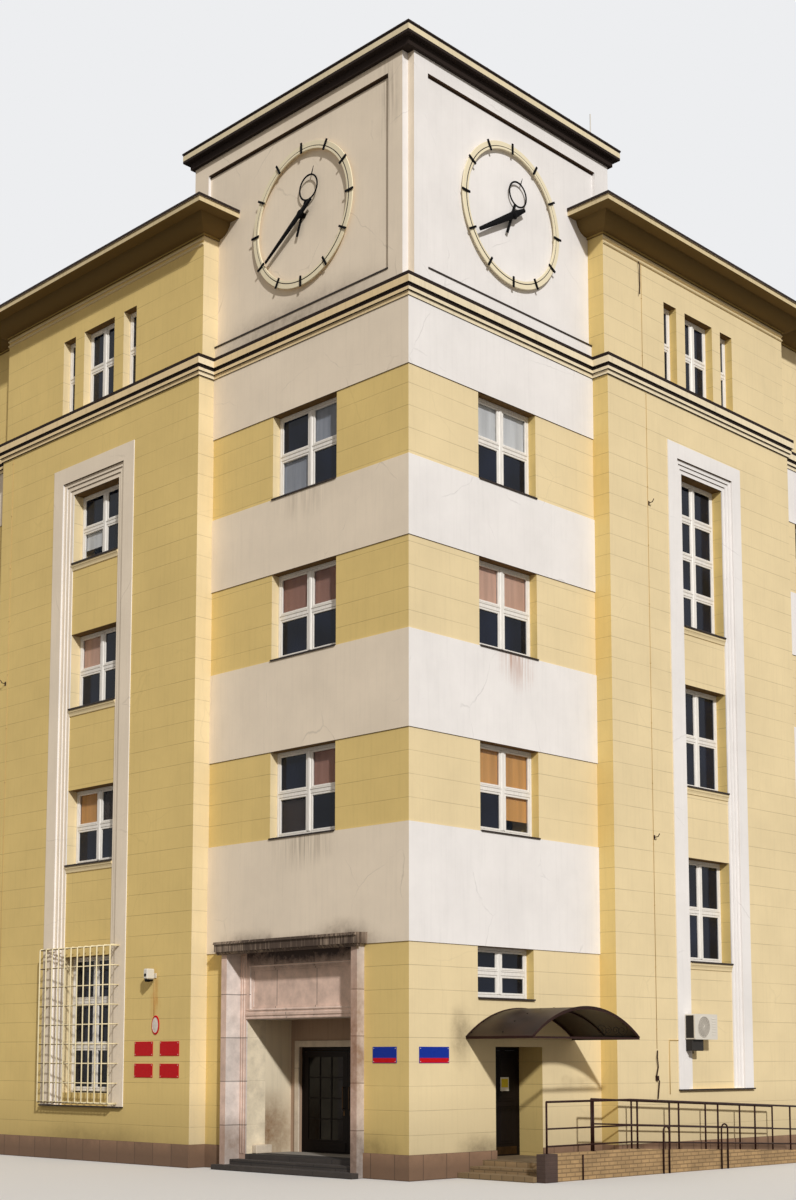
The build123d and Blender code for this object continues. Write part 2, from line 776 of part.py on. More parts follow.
keep(gathered([
    box(-portal_out - tread / 2, -portal_out, portal_hole[0] - 50, portal_hole[1] + 50, 0, step_h),
    box(-portal_out, step_x, portal_u - half_open, portal_u + half_open, 0, step_h),
    box(step_x - tread * 0.7, step_x, portal_u - half_open, portal_u + half_open, step_h, 2 * step_h),
    box(step_x, wall_t, y_in_low, y_in_high, 0, ground_floor_z),
]), "portal_steps")

# Doors: frames with leaves hung on lift-off hinges on the inner face, opening inward
main_depth = porch_depth + frame_depth_in
side_top = ground_floor_z + side_door_h
leaf_z0 = ground_floor_z + leaf_foot_gap
main_leaf_z1 = door_top - frame_w - leaf_gap
side_leaf_z1 = side_top - frame_w - leaf_gap
main_hinge_x = main_depth + leaf_t + hinge_off
left_hinge_y = door_high - frame_w - leaf_gap + hinge_side
right_hinge_y = door_low + frame_w + leaf_gap - hinge_side
side_hinge_x = side_hole[1] - frame_w - leaf_gap + hinge_side
side_hinge_y = side_door_depth + leaf_t + hinge_off
main_hinge_z = (leaf_z0 + main_leaf_z1) / 2
side_hinge_z = (leaf_z0 + side_leaf_z1) / 2


def half_hinge(side, x, y, reach, z, pin):
    """Knuckle with its flap against the door face; the lower half carries the pin."""
    lie = (-hinge_off, hinge_flap_t - hinge_off)
    if side == "left":
        flap = box(x + lie[0], x + lie[1], min(y, y + reach), max(y, y + reach), z, z + knuckle_h)
    else:
        flap = box(min(x, x + reach), max(x, x + reach), y + lie[0], y + lie[1], z, z + knuckle_h)
    with BuildPart() as half:
        add(flap)
        with BuildSketch(Plane.XY.offset(z)):
            with Locations((x, y)):
                RegularPolygon(knuckle_r, knuckle_sides)
        extrude(amount=knuckle_h)
        with BuildSketch(Plane.XY.offset(z)):
            with Locations((x, y)):
                Circle(hinge_pin_r if pin else hinge_pin_r + hinge_clear)
        if pin:
            extrude(amount=2 * knuckle_h + hinge_clear)
        else:
            extrude(amount=knuckle_h, mode=Mode.SUBTRACT)
    return half.part


def frame_hinge(side, x, y, reach, z):
    return half_hinge(side, x, y, reach, z - knuckle_h - hinge_clear, True)


keep(gathered(
    [plate("left", -main_depth, leaf_t, [(door_low, door_high, ground_floor_z, door_top)],
           [(door_low + frame_w, door_high - frame_w, ground_floor_z, door_top - frame_w)]),
     plate("right", -side_door_depth, leaf_t, [(side_hole[0], side_hole[1], ground_floor_z, side_top)],
           [(side_hole[0] + frame_w, side_hole[1] - frame_w, ground_floor_z, side_top - frame_w)]),
     frame_hinge("left", main_hinge_x, left_hinge_y, hinge_flap_w, main_hinge_z),
     frame_hinge("left", main_hinge_x, right_hinge_y, -hinge_flap_w, main_hinge_z),
     frame_hinge("right", side_hinge_x, side_hinge_y, hinge_flap_w, side_hinge_z)]
), "door_frames")


def glazed_leaf(u_low, u_high, hinge):
    """Door leaf with a pane sunk on both faces."""
    with BuildPart() as door:
        with BuildSketch(left_front.offset(main_depth)):
            with Locations(((u_low + u_high) / 2, (leaf_z0 + main_leaf_z1) / 2)):
                Rectangle(u_high - u_low, main_leaf_z1 - leaf_z0)
        extrude(amount=leaf_t)
        for depth, amount in ((main_depth, pane_sink), (main_depth + leaf_t, -pane_sink)):
            with BuildSketch(left_front.offset(depth)):
                with Locations(((u_low + u_high) / 2, (leaf_z0 + main_leaf_z1 + glass_in) / 2)):
                    Rectangle(u_high - u_low - 2 * glass_in, main_leaf_z1 - leaf_z0 - 3 * glass_in)
            extrude(amount=amount, mode=Mode.SUBTRACT)
        add(hinge)
    return door.part


right_leaf_hinge = half_hinge("left", main_hinge_x, right_hinge_y, hinge_flap_w, main_hinge_z, False)
left_leaf_hinge = half_hinge("left", main_hinge_x, left_hinge_y, -hinge_flap_w, main_hinge_z, False)
side_leaf_hinge = half_hinge("right", side_hinge_x, side_hinge_y, -hinge_flap_w, side_hinge_z, False)
keep(glazed_leaf(door_low + frame_w + leaf_gap, portal_u - leaf_gap / 2, right_leaf_hinge),
     "main_door_leaf_right")
keep(glazed_leaf(portal_u + leaf_gap / 2, door_high - frame_w - leaf_gap, left_leaf_hinge),
     "main_door_leaf_left")
keep(gathered(
    [plate("right", -side_door_depth, leaf_t,
           [(side_hole[0] + frame_w + leaf_gap, side_hole[1] - frame_w - leaf_gap, leaf_z0, side_leaf_z1)]),
     side_leaf_hinge]
), "side_door_leaf")


# Barrel canopy over the side door: a thin sheet on arched ribs and a bar along each edge
def arch(y0, y1, inset, thickness):
    """Arched strip between two depths, its crown and feet drawn in by an inset."""
    half = canopy_w / 2 - inset
    rise = canopy_rise - inset
    with BuildPart() as strip:
        with BuildSketch(Plane.XZ.offset(-y1)):
            with BuildLine():
                outer = ThreePointArc((canopy_u - half, canopy_z), (canopy_u, canopy_z + rise),
                                      (canopy_u + half, canopy_z))
                inner = ThreePointArc((canopy_u - half + thickness, canopy_z),
                                      (canopy_u, canopy_z + rise - thickness),
                                      (canopy_u + half - thickness, canopy_z))
                Line(outer @ 0, inner @ 0)
                Line(outer @ 1, inner @ 1)
            make_face()
        extrude(amount=y1 - y0)
    return strip.part


keep(arch(-canopy_out, 0, 0, canopy_t), "canopy_sheet")
canopy_low = canopy_u - canopy_w / 2
canopy_high = canopy_u + canopy_w / 2
rib_pitch = (canopy_out - canopy_bar) / (canopy_ribs - 1)
rib_ys = [-canopy_out + i * rib_pitch for i in range(canopy_ribs)]
bar_z = canopy_z - canopy_bar
keep(gathered(
    [box(canopy_low, canopy_high, -canopy_out, -canopy_out + canopy_bar, bar_z, canopy_z),
     box(canopy_low, canopy_low + canopy_bar, -canopy_out, 0, bar_z, canopy_z),
     box(canopy_high - canopy_bar, canopy_high, -canopy_out, 0, bar_z, canopy_z)]
    + [arch(y, y + canopy_bar, canopy_t + canopy_rib_gap, canopy_rib_h) for y in rib_ys]
), "canopy_frame")

# Landing, steps and ramp before the side door, with a brick kerb wall and an end pier
steps_x = landing_x0 - 2 * tread
stair = [(steps_x, 0), (steps_x, step_h), (landing_x0 - tread, step_h), (landing_x0 - tread, 2 * step_h),
         (landing_x0, 2 * step_h), (landing_x0, ground_floor_z)]
bay_face = plinth_t + bay_projection + plinth_joint
keep(gathered([
    long_slab(stair + [(landing_x1, ground_floor_z), (ramp_end, 0)], -ramp_w, -bay_face),
    long_slab(stair + [(x_bay - plinth_gap, ground_floor_z), (x_bay - plinth_gap, 0)], -bay_face, -plinth_t),
    plate("right", plinth_t, plinth_t + wall_t, [(side_hole[0], side_hole[1], 0, ground_floor_z)]),
]), "ramp_and_steps")

kerb_top = ground_floor_z + kerb_h
kerb_y = -ramp_w - kerb_t
keep(gathered([
    long_slab([(pier_x + pier_w, 0), (pier_x + pier_w, kerb_top), (landing_x1, kerb_top),
               (ramp_end, kerb_h), (ramp_end, 0)], kerb_y, -ramp_w),
    box(pier_x, pier_x + pier_w, -ramp_w - pier_t, -ramp_w, 0, kerb_top),
]), "ramp_kerb")


def surface(x):
    """Height of the landing or the ramp at a station."""
    return ground_floor_z * min(1, (ramp_end - x) / (ramp_end - landing_x1))


def rail(y, x_low, x_high, height):
    """Bar of a railing that follows the landing and the fall of the ramp."""
    if x_low < landing_x1:
        line = [(x_low, surface(x_low)), (landing_x1, ground_floor_z), (x_high, surface(x_high))]
    else:
        line = [(x_low, surface(x_low)), (x_high, surface(x_high))]
    low = [(x, z + height - rail_r) for x, z in line]
    high = [(x, z + height + rail_r) for x, z in reversed(line)]
    return long_slab(low + high, y - rail_r, y + rail_r)


def posts(y, x_low, x_high, count, base):
    """Upright bars, evenly spaced, from the kerb or the ramp to the handrail."""
    xs = [x_low + rail_r + i * (x_high - x_low - 2 * rail_r) / (count - 1) for i in range(count)]
    return [box(x - rail_r, x + rail_r, y - rail_r, y + rail_r, surface(x - rail_r) + base,
                surface(x - rail_r) + rail_h) for x in xs]


outer_y = -ramp_w - kerb_t / 2
outer_low = pier_x + pier_w / 2
outer_high = ramp_end - rail_end_in
inner_y = -inner_rail_in
inner_low = landing_x1 + rail_end_in
keep(gathered(
    posts(outer_y, outer_low, outer_high, outer_posts, kerb_h)
    + [rail(outer_y, outer_low, outer_high, h) for h in (rail_low_h, rail_mid_h, rail_h)]
    + posts(inner_y, inner_low, outer_high, inner_posts, 0)
    + [rail(inner_y, inner_low, outer_high, h) for h in (rail_mid_h, rail_h)]
), "ramp_railing")

# Iron basket grille before the ground-floor window of the left bay
cell_w = (grille_w - grille_uprights * grille_bar) / (grille_uprights - 1)
cell_h = (grille_z1 - grille_z0 - grille_rails * grille_bar) / (grille_rails - 1)
grille_x = -bay_projection - grille_out
with BuildPart() as grille:
    with BuildSketch(left_front.offset(grille_x)):
        with Locations((bay_left_u, (grille_z0 + grille_z1) / 2)):
            Rectangle(grille_w, grille_z1 - grille_z0)
            with GridLocations(cell_w + grille_bar, cell_h + grille_bar, grille_uprights - 1,
                               grille_rails - 1):
                Rectangle(cell_w, cell_h, mode=Mode.SUBTRACT)
    extrude(amount=grille_bar)
grille_end_u = grille_w / 2
rail_zs = [grille_z0 + i * (cell_h + grille_bar) for i in range(grille_rails)]
grille_ends = [box(grille_x, -bay_projection - band_t, u, u + grille_bar, z, z + grille_bar)
               for u in (bay_left_u - grille_end_u, bay_left_u + grille_end_u - grille_bar) for z in rail_zs]
keep(gathered([grille.part] + grille_ends), "iron_grille")

# Air-conditioning unit on the right bay, camera housing and lightning rod
ac_back = bay_projection + ac_off
with BuildPart() as air_unit:
    with BuildSketch(right_front.offset(ac_back)):
        with Locations((ac_u, ac_z + ac_h / 2)):
            Rectangle(ac_w, ac_h)
    extrude(amount=ac_d)
    fillet(air_unit.edges().filter_by(Axis.Y), radius=ac_round)
ac_foot_in = ac_w / 2 - 2 * ac_foot_w
ac_feet = [plate("right", ac_back, reach, [around(ac_u + place, ac_foot_w, ac_z, ac_z + ac_foot_h)])
           for place, reach in ((-ac_foot_in, ac_off - band_t), (ac_foot_in, ac_off + niche_d))]
keep(gathered([air_unit.part] + ac_feet), "air_conditioner")
keep(plate("left", bay_projection + camera_l, camera_l,
           [around(camera_u, camera_w, camera_z, camera_z + camera_h)]), "camera_housing")
with BuildPart() as rod:
    with BuildSketch(Plane.XY.offset(z_head + cornice_bed_h + cornice_h + cover_t)):
        with Locations((tower_head_right - rod_in_u, rod_in_v)):
            Circle(rod_r)
    extrude(amount=rod_l)
keep(rod.part, "lightning_rod")

# Clocks
clock_height = z_attic + clock_z


def clock_plane(side, off):
    """Face of a clock, with local x to the right of someone who looks at it."""
    if side == "right":
        return Plane(origin=(clock_u, panel_recess - off, clock_height), x_dir=(1, 0, 0), z_dir=(0, -1, 0))
    return Plane(origin=(panel_recess - off, clock_u, clock_height), x_dir=(0, -1, 0), z_dir=(-1, 0, 0))


def ring(side):
    with BuildPart() as piece:
        with BuildSketch(clock_plane(side, ring_off)):
            RegularPolygon(ring_r + ring_w / 2, ring_sides)
            RegularPolygon(ring_r - ring_w / 2, ring_sides, mode=Mode.SUBTRACT)
        extrude(amount=ring_t)
        with BuildSketch(clock_plane(side, 0)):
            with PolarLocations(ring_r, brackets, start_angle=15):
                Rectangle(bracket_w, bracket_w)
        extrude(amount=ring_off)
    return piece.part


def marks(side):
    with BuildPart() as piece:
        with BuildSketch(clock_plane(side, ring_off + ring_t)):
            with PolarLocations(ring_r, 12):
                Rectangle(mark_l, mark_w)
        extrude(amount=mark_t)
    return piece.part


hour_off = boss_t + pin_clear
minute_off = ring_off + ring_t + mark_t + hand_gap


def spindle(side):
    with BuildPart() as piece:
        with BuildSketch(clock_plane(side, 0)):
            RegularPolygon(boss_r, boss_sides)
        extrude(amount=boss_t)
        with BuildSketch(clock_plane(side, boss_t)):
            Circle(pin_r)
        extrude(amount=minute_off + 2 * hand_t - boss_t)
    return piece.part


def minute_hand(side):
    """Tapering blade, widest at the hub, with a blunt tail."""
    with BuildPart() as piece:
        with BuildSketch(clock_plane(side, minute_off)) as outline:
            with BuildLine():
                Polyline((-minute_w / 3, -minute_tail), (-minute_w / 2, 0), (-minute_tip_w / 2, minute_l),
                         (minute_tip_w / 2, minute_l), (minute_w / 2, 0), (minute_w / 3, -minute_tail),
                         close=True)
            make_face()
            Circle(hub_r)
            Circle(pin_r + pin_clear, mode=Mode.SUBTRACT)
        extrude(amount=hand_t)
    return piece.part


def hour_hand(side):
    """Stem, ring eye and needle tip, with a blunt tail."""
    with BuildPart() as piece:
        with BuildSketch(clock_plane(side, hour_off)):
            with BuildLine():
                Polyline((-hour_w / 2, -hour_tail), (-hour_w / 2, hour_eye_u), (0, hour_l),
                         (hour_w / 2, hour_eye_u), (hour_w / 2, -hour_tail), close=True)
            make_face()
            with Locations((0, hour_eye_u)):
                Circle(hour_eye_r)
                Circle(hour_eye_r - hour_eye_w, mode=Mode.SUBTRACT)
            Circle(pin_r + pin_clear, mode=Mode.SUBTRACT)
        extrude(amount=hand_t)
    return piece.part


def turned(piece, side, angle):
    """A hand turned clockwise on its dial by an angle from twelve o'clock."""
    return piece.rotate(Axis(clock_plane(side, 0).origin, clock_plane(side, 0).z_dir), -angle)


for label, make in (("clock_rings", ring), ("hour_marks", marks), ("clock_spindles", spindle)):
    keep(gathered([make("right"), make("left")]), label)
for side in ("right", "left"):
    keep(turned(hour_hand(side), side, hour_angle), f"hour_hand_{side}")
    keep(turned(minute_hand(side), side, minute_angle), f"minute_hand_{side}")
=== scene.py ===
"""Corner office building: finishes, joinery, clock faces, ironwork and studio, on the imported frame."""

import math

import bmesh
import bpy
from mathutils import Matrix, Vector


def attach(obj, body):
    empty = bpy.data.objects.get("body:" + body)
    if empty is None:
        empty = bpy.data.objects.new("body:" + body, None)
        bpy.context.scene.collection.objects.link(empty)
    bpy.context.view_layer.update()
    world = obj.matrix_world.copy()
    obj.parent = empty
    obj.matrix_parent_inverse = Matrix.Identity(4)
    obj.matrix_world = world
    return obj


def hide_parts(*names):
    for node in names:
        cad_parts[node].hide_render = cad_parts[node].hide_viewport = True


bl_info = {
    "name": "Corner Office Building",
    "version": (1, 0, 0),
    "blender": (4, 5, 0),
    "location": "View3D > Sidebar > Building",
    "description": "Dresses a corner office building with its finishes, windows, clocks and ironwork",
    "category": "Object",
}

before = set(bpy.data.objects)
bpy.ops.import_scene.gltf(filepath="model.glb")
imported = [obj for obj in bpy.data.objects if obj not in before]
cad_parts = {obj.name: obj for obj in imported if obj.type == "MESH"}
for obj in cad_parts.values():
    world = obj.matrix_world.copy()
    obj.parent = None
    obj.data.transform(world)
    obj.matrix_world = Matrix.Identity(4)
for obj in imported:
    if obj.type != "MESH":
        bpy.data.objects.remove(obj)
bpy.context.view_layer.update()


def linear(hex_colour, alpha=1.0):
    """Turns an sRGB hex value into a linear colour."""
    values = [int(hex_colour[i : i + 2], 16) / 255 for i in (1, 3, 5)]
    return (*[v / 12.92 if v <= 0.04045 else ((v + 0.055) / 1.055) ** 2.4 for v in values], alpha)


# Heights of the lines of the fronts, in metres
BAND_1, SILL_1 = 4.332, 6.546
BAND_2, SILL_2 = 8.312, 10.184
BAND_3, SILL_3 = 11.975, 13.543
FRIEZE, STRING, ATTIC = 15.315, 16.650, 17.080
EAVES, HEAD = 19.800, 21.700
# Ends of the bays and of the wings along both streets, and the depth of the wings
X_BAY, X_FAR, X_END = 5.630, 12.700, 19.600
Y_BAY, Y_FAR, Y_END = 5.810, 13.390, 20.290
WING_DEPTH = 10.0
# How far the stages of the bays stand out from the tower's faces
BAY_OUT = 0.420
FIELD_OUT = 0.320
STRIP_REVEAL = 0.240
ATTIC_OUT = 0.340
BAY_RIGHT_U, BAY_LEFT_U = 9.165, 9.600
CLOCK_U, CLOCK_Z, CLOCK_OUT = 3.050, 19.380, -0.070
# Sunk panels of the head: ends along each front
PANEL_START, PANEL_END = 0.550, {"right": 5.820, "left": 6.100}
# Portal on the left front: edges of its jambs, face of its beam, porch and doorway
PORTAL_U, JAMB_STEP_U, PORCH_U, BEAM_OUT = (1.165, 5.115), (1.330, 4.950), (1.520, 4.760), -0.180
PORCH_BACK, PORCH_FLOOR, DOORWAY_U, DOORWAY_TOP = -1.400, 0.300, (1.790, 4.490), 2.430
# Wooden windows: depth of the frame, drip below it, and rounding of its edges
FRAME_DEPTH, FRAME_DRIP, FRAME_EASE = 0.065, 0.030, 0.006


class FinishSettings(bpy.types.PropertyGroup):
    """Colours of the fronts."""

    yellow: bpy.props.FloatVectorProperty(
        name="Yellow render", description="Paint of the yellow walls", subtype="COLOR",
        size=4, min=0, max=1, default=linear("#EAD6AA"))
    white: bpy.props.FloatVectorProperty(
        name="White render", description="Paint of the white bands and the tower head", subtype="COLOR",
        size=4, min=0, max=1, default=linear("#F0ECE9"))
    stone: bpy.props.FloatVectorProperty(
        name="Portal stone", description="Dressed stone of the portal", subtype="COLOR",
        size=4, min=0, max=1, default=linear("#E4D7CE"))
    plinth: bpy.props.FloatVectorProperty(
        name="Plinth stone", description="Rough stone of the plinth", subtype="COLOR",
        size=4, min=0, max=1, default=linear("#93735A"))
    joinery: bpy.props.FloatVectorProperty(
        name="Joinery paint", description="White paint of the windows", subtype="COLOR",
        size=4, min=0, max=1, default=linear("#EFEAE2"))
    metal: bpy.props.FloatVectorProperty(
        name="Dark metal", description="Paint of sills, covers and clock hands", subtype="COLOR",
        size=4, min=0, max=1, default=linear("#2B211B"))


class JoinerySettings(bpy.types.PropertyGroup):
    """Sizes of the windows and of the scored render."""

    reveal: bpy.props.FloatProperty(
        name="Reveal", description="Depth of a window behind the wall face", unit="LENGTH",
        default=0.180, min=0.05, max=0.6)
    frame_width: bpy.props.FloatProperty(
        name="Frame width", description="Width of the fixed frame", unit="LENGTH",
        default=0.055, min=0.02, max=0.2)
    mullion_width: bpy.props.FloatProperty(
        name="Mullion width", description="Width of the post between two casements", unit="LENGTH",
        default=0.105, min=0.03, max=0.3)
    sash_width: bpy.props.FloatProperty(
        name="Sash width", description="Width of the wood around one pane", unit="LENGTH",
        default=0.045, min=0.02, max=0.1)
    course: bpy.props.FloatProperty(
        name="Course", description="Distance between two scored joints in the yellow render", unit="LENGTH",
        default=0.4415, min=0.1, max=1.0)


# Shader nodes
def add_node(tree, kind, inputs=None, **settings):
    """Adds one node with its settings, and links or sets its inputs."""
    made = tree.nodes.new(kind)
    for key, value in settings.items():
        setattr(made, key, value)
    for key, value in (inputs or {}).items():
        if isinstance(value, bpy.types.NodeSocket):
            tree.links.new(value, made.inputs[key])
        else:
            made.inputs[key].default_value = value
    return made


def new_material(name, colour=None, **shader):
    """Material with a Principled shader whose constant values are set on its own sockets."""
    made = bpy.data.materials.new(name)
    made.use_nodes = True
    principled = made.node_tree.nodes["Principled BSDF"]
    if colour is not None:
        principled.inputs["Base Color"].default_value = colour
        made.diffuse_color = colour
    for key, value in shader.items():
        principled.inputs[key.replace("_", " ")].default_value = value
    return made, made.node_tree, principled


def shade(colour, factor):
    """Colour made darker or lighter by a factor."""
    return (*[c * factor for c in colour[:3]], colour[3])


def vary(tree, shown, pattern, span, tones):
    """Multiplies a colour by a pattern whose values over a span become the two tones."""
    tone = add_node(tree, "ShaderNodeMapRange",
                    {0: pattern, 1: span[0], 2: span[1], 3: tones[0], 4: tones[1]})
    varied = add_node(tree, "ShaderNodeMix", {0: 1.0, 6: shown, 7: tone.outputs[0]}, data_type="RGBA",
                      blend_type="MULTIPLY")
    return varied.outputs[2]


def finish_surface(tree, principled, shown, relief, cut=None):
    """Gives a shader its colour, its raised grain and the joints cut into it.

    Relief and cut are each a height, a strength and a depth in metres.
    """
    tree.links.new(shown, principled.inputs["Base Color"])
    height, strength, depth = relief
    bump = add_node(tree, "ShaderNodeBump", {"Height": height, "Strength": strength, "Distance": depth})
    if cut:
        height, strength, depth = cut
        bump = add_node(tree, "ShaderNodeBump", {"Height": height, "Strength": strength, "Distance": depth,
                                                 "Normal": bump.outputs[0]}, invert=True)
    tree.links.new(bump.outputs[0], principled.inputs["Normal"])


def stain(tree, spot, shown, stains_and_shadows):
    """Lays soft patches, ragged like real ones, over a colour: dirt, rust and painted shadow.

    Each patch is its centre, its three half sizes, its colour, its strength and how streaky it is.
    """
    if not stains_and_shadows:
        return shown
    ragged = add_node(tree, "ShaderNodeTexNoise",
                      {"Vector": spot, "Scale": 1.7, "Detail": 7.0, "Roughness": 0.65})
    shift = add_node(tree, "ShaderNodeVectorMath", {0: ragged.outputs["Color"], 1: (-0.5, -0.5, -0.5)},
                     operation="ADD")
    moved = add_node(tree, "ShaderNodeVectorMath", {0: shift.outputs[0], 1: (0.55, 0.55, 0.4), 2: spot},
                     operation="MULTIPLY_ADD")
    stretch = add_node(tree, "ShaderNodeMapping", {"Vector": spot, "Scale": (11.0, 11.0, 0.45)})
    streak = add_node(tree, "ShaderNodeTexNoise", {"Vector": stretch.outputs[0], "Scale": 1.6, "Detail": 5.0})
    grain = add_node(tree, "ShaderNodeTexNoise",
                     {"Vector": spot, "Scale": 5.5, "Detail": 8.0, "Roughness": 0.7})
    for centre, radii, other, strength, streaky in stains_and_shadows:
        patch = add_node(tree, "ShaderNodeMapping",
                         {"Vector": moved.outputs[0], "Location": centre, "Scale": radii},
                         vector_type="TEXTURE")
        ball = add_node(tree, "ShaderNodeTexGradient", {"Vector": patch.outputs[0]},
                        gradient_type="SPHERICAL")
        pattern, least = (streak, 0.0) if streaky else (grain, 0.6)
        broken = add_node(tree, "ShaderNodeMapRange", {0: pattern.outputs["Fac"], 1: 0.36, 2: 0.66, 3: least,
                                                       4: 1.1})
        soft = add_node(tree, "ShaderNodeMapRange", {0: ball.outputs["Fac"], 1: 0.0, 2: 0.95, 3: 0.0,
                                                     4: strength}, interpolation_type="SMOOTHSTEP")
        amount = add_node(tree, "ShaderNodeMath", {0: soft.outputs[0], 1: broken.outputs[0]},
                          operation="MULTIPLY", use_clamp=True)
        changed = add_node(tree, "ShaderNodeMix", {0: amount.outputs[0], 6: shown, 7: other},
                           data_type="RGBA")
        shown = changed.outputs[2]
    return shown


def warm(tree, shown, left_coat_and_shade):
    """Multiplies the faces turned to the left street, up to a reach along X, by a tone: painted shade and an
    older coat.
    """
    tone, reach = left_coat_and_shade
    facing = add_node(tree, "ShaderNodeNewGeometry")
    normal = add_node(tree, "ShaderNodeSeparateXYZ", {0: facing.outputs["True Normal"]})
    left = add_node(tree, "ShaderNodeMath", {0: normal.outputs["X"], 1: -0.5}, operation="LESS_THAN")
    position = add_node(tree, "ShaderNodeSeparateXYZ", {0: facing.outputs["Position"]})
    near = add_node(tree, "ShaderNodeMath", {0: position.outputs["X"], 1: reach}, operation="LESS_THAN")
    both = add_node(tree, "ShaderNodeMath", {0: left.outputs[0], 1: near.outputs[0]}, operation="MULTIPLY")
    warmed = add_node(tree, "ShaderNodeMix", {0: both.outputs[0], 6: shown, 7: tone}, data_type="RGBA",
                      blend_type="MULTIPLY")
    return warmed.outputs[2]


def lime_render(name, colour, course=0.0, crack=0.0, grime=0.25, low=0.0, under=None, levels=(), left_coat_and_shade=None,
                stains_and_shadows=()):
    """Lime render floated with a wooden board and painted matt.

    The float leaves a 2 mm grain, rain leaves long vertical streaks, and scored joints
    run round the building at the height of a course. Faces turned to the left street get a warmer,
    darker tone, painted shade for the low light there and an older coat; undersides are painted
    dark as shade with their dirt, and dirt, rust and painted shadow lie in soft patches where given.
    """
    made, tree, principled = new_material(name, colour, Roughness=0.88, Specular_IOR_Level=0.25)
    spot = add_node(tree, "ShaderNodeTexCoord").outputs["Object"]
    split = add_node(tree, "ShaderNodeSeparateXYZ", {0: spot})
    # Cloudy repainting, patches about 1.6 m across
    cloud = add_node(tree, "ShaderNodeTexNoise", {"Vector": spot, "Scale": 0.62, "Detail": 6.0,
                                                  "Roughness": 0.62})
    # Rain streaks, 60 mm wide and about 2 m long
    stretch = add_node(tree, "ShaderNodeMapping", {"Vector": spot, "Scale": (9.0, 9.0, 0.5)})
    streak = add_node(tree, "ShaderNodeTexNoise", {"Vector": stretch.outputs[0], "Scale": 1.6, "Detail": 4.0})
    streaks = add_node(tree, "ShaderNodeMapRange",
                       {0: streak.outputs["Fac"], 1: 0.5, 2: 0.78, 3: 0.0, 4: grime})
    darker = add_node(tree, "ShaderNodeMix", {0: streaks.outputs[0], 6: colour, 7: shade(colour, 0.62)},
                      data_type="RGBA")
    shown = vary(tree, darker.outputs[2], cloud.outputs["Fac"], (0.3, 0.7), (0.93, 1.05))
    cut = None
    if course:
        # Scored joints 9 mm wide, drawn 19 mm wide so that they show
        drawn_width = 0.019
        lift = add_node(tree, "ShaderNodeMath", {0: split.outputs["Z"], 1: SILL_1 - 20 * course},
                        operation="SUBTRACT")
        turn = add_node(tree, "ShaderNodeMath", {0: lift.outputs[0], 1: course}, operation="DIVIDE")
        part = add_node(tree, "ShaderNodeMath", {0: turn.outputs[0]}, operation="FRACT")
        off = add_node(tree, "ShaderNodeMath", {0: part.outputs[0], 1: 0.5}, operation="SUBTRACT")
        near = add_node(tree, "ShaderNodeMath", {0: off.outputs[0]}, operation="ABSOLUTE")
        line = add_node(tree, "ShaderNodeMapRange", {0: near.outputs[0], 1: 0.5 - drawn_width / course * 0.5,
                                                     2: 0.5, 3: 0.0, 4: 1.0})
        worn = add_node(tree, "ShaderNodeTexNoise", {"Vector": spot, "Scale": 0.9, "Detail": 3.0})
        left = add_node(tree, "ShaderNodeMapRange",
                        {0: worn.outputs["Fac"], 1: 0.35, 2: 0.6, 3: 0.2, 4: 0.65})
        drawn = add_node(tree, "ShaderNodeMath", {0: line.outputs[0], 1: left.outputs[0]},
                         operation="MULTIPLY")
        joint = add_node(tree, "ShaderNodeMix", {0: drawn.outputs[0], 6: shown, 7: shade(colour, 0.42)},
                         data_type="RGBA")
        shown = joint.outputs[2]
        cut = (line.outputs[0], 0.5, 0.006)
    if crack:
        # Hair cracks in plates about 2.2 m across, only where the plaster moved
        bend = add_node(tree, "ShaderNodeTexNoise", {"Vector": spot, "Scale": 1.3, "Detail": 5.0})
        bent = add_node(tree, "ShaderNodeMix", {0: 0.35, 6: spot, 7: bend.outputs["Color"]}, data_type="RGBA",
                        blend_type="ADD")
        plates = add_node(tree, "ShaderNodeTexVoronoi", {"Vector": bent.outputs[2], "Scale": 0.42},
                          feature="DISTANCE_TO_EDGE")
        thin = add_node(tree, "ShaderNodeMapRange", {0: plates.outputs["Distance"], 1: 0.0, 2: 0.006, 3: 1.0,
                                                     4: 0.0})
        where = add_node(tree, "ShaderNodeMapRange",
                         {0: cloud.outputs["Fac"], 1: 0.5, 2: 0.6, 3: 0.0, 4: crack})
        both = add_node(tree, "ShaderNodeMath", {0: thin.outputs[0], 1: where.outputs[0]},
                        operation="MULTIPLY")
        cracked = add_node(tree, "ShaderNodeMix", {0: both.outputs[0], 6: shown, 7: shade(colour, 0.4)},
                           data_type="RGBA")
        shown = cracked.outputs[2]
    if low:
        # Splash zone over the pavement
        splash = add_node(tree, "ShaderNodeMapRange", {0: split.outputs["Z"], 1: 0.4, 2: low, 3: 1.0, 4: 0.0})
        patch = add_node(tree, "ShaderNodeMath", {0: splash.outputs[0], 1: cloud.outputs["Fac"]},
                         operation="MULTIPLY")
        splashed = add_node(tree, "ShaderNodeMix", {0: patch.outputs[0], 6: shown, 7: shade(colour, 0.45)},
                            data_type="RGBA")
        shown = splashed.outputs[2]
    for low_z, high_z, other in levels:
        # Band of a moulding between two heights in another colour: metal sheeting, and painted shade under
        # projections
        middle = add_node(tree, "ShaderNodeMath", {0: split.outputs["Z"], 1: (low_z + high_z) / 2,
                                                   2: (high_z - low_z) / 2}, operation="COMPARE")
        changed = add_node(tree, "ShaderNodeMix", {0: middle.outputs[0], 6: shown, 7: other},
                           data_type="RGBA")
        shown = changed.outputs[2]
    shown = stain(tree, spot, shown, stains_and_shadows)
    # Faces turned to the left street: a warmer, darker tone, painted shade with an older coat
    if left_coat_and_shade:
        shown = warm(tree, shown, left_coat_and_shade)
    if under:
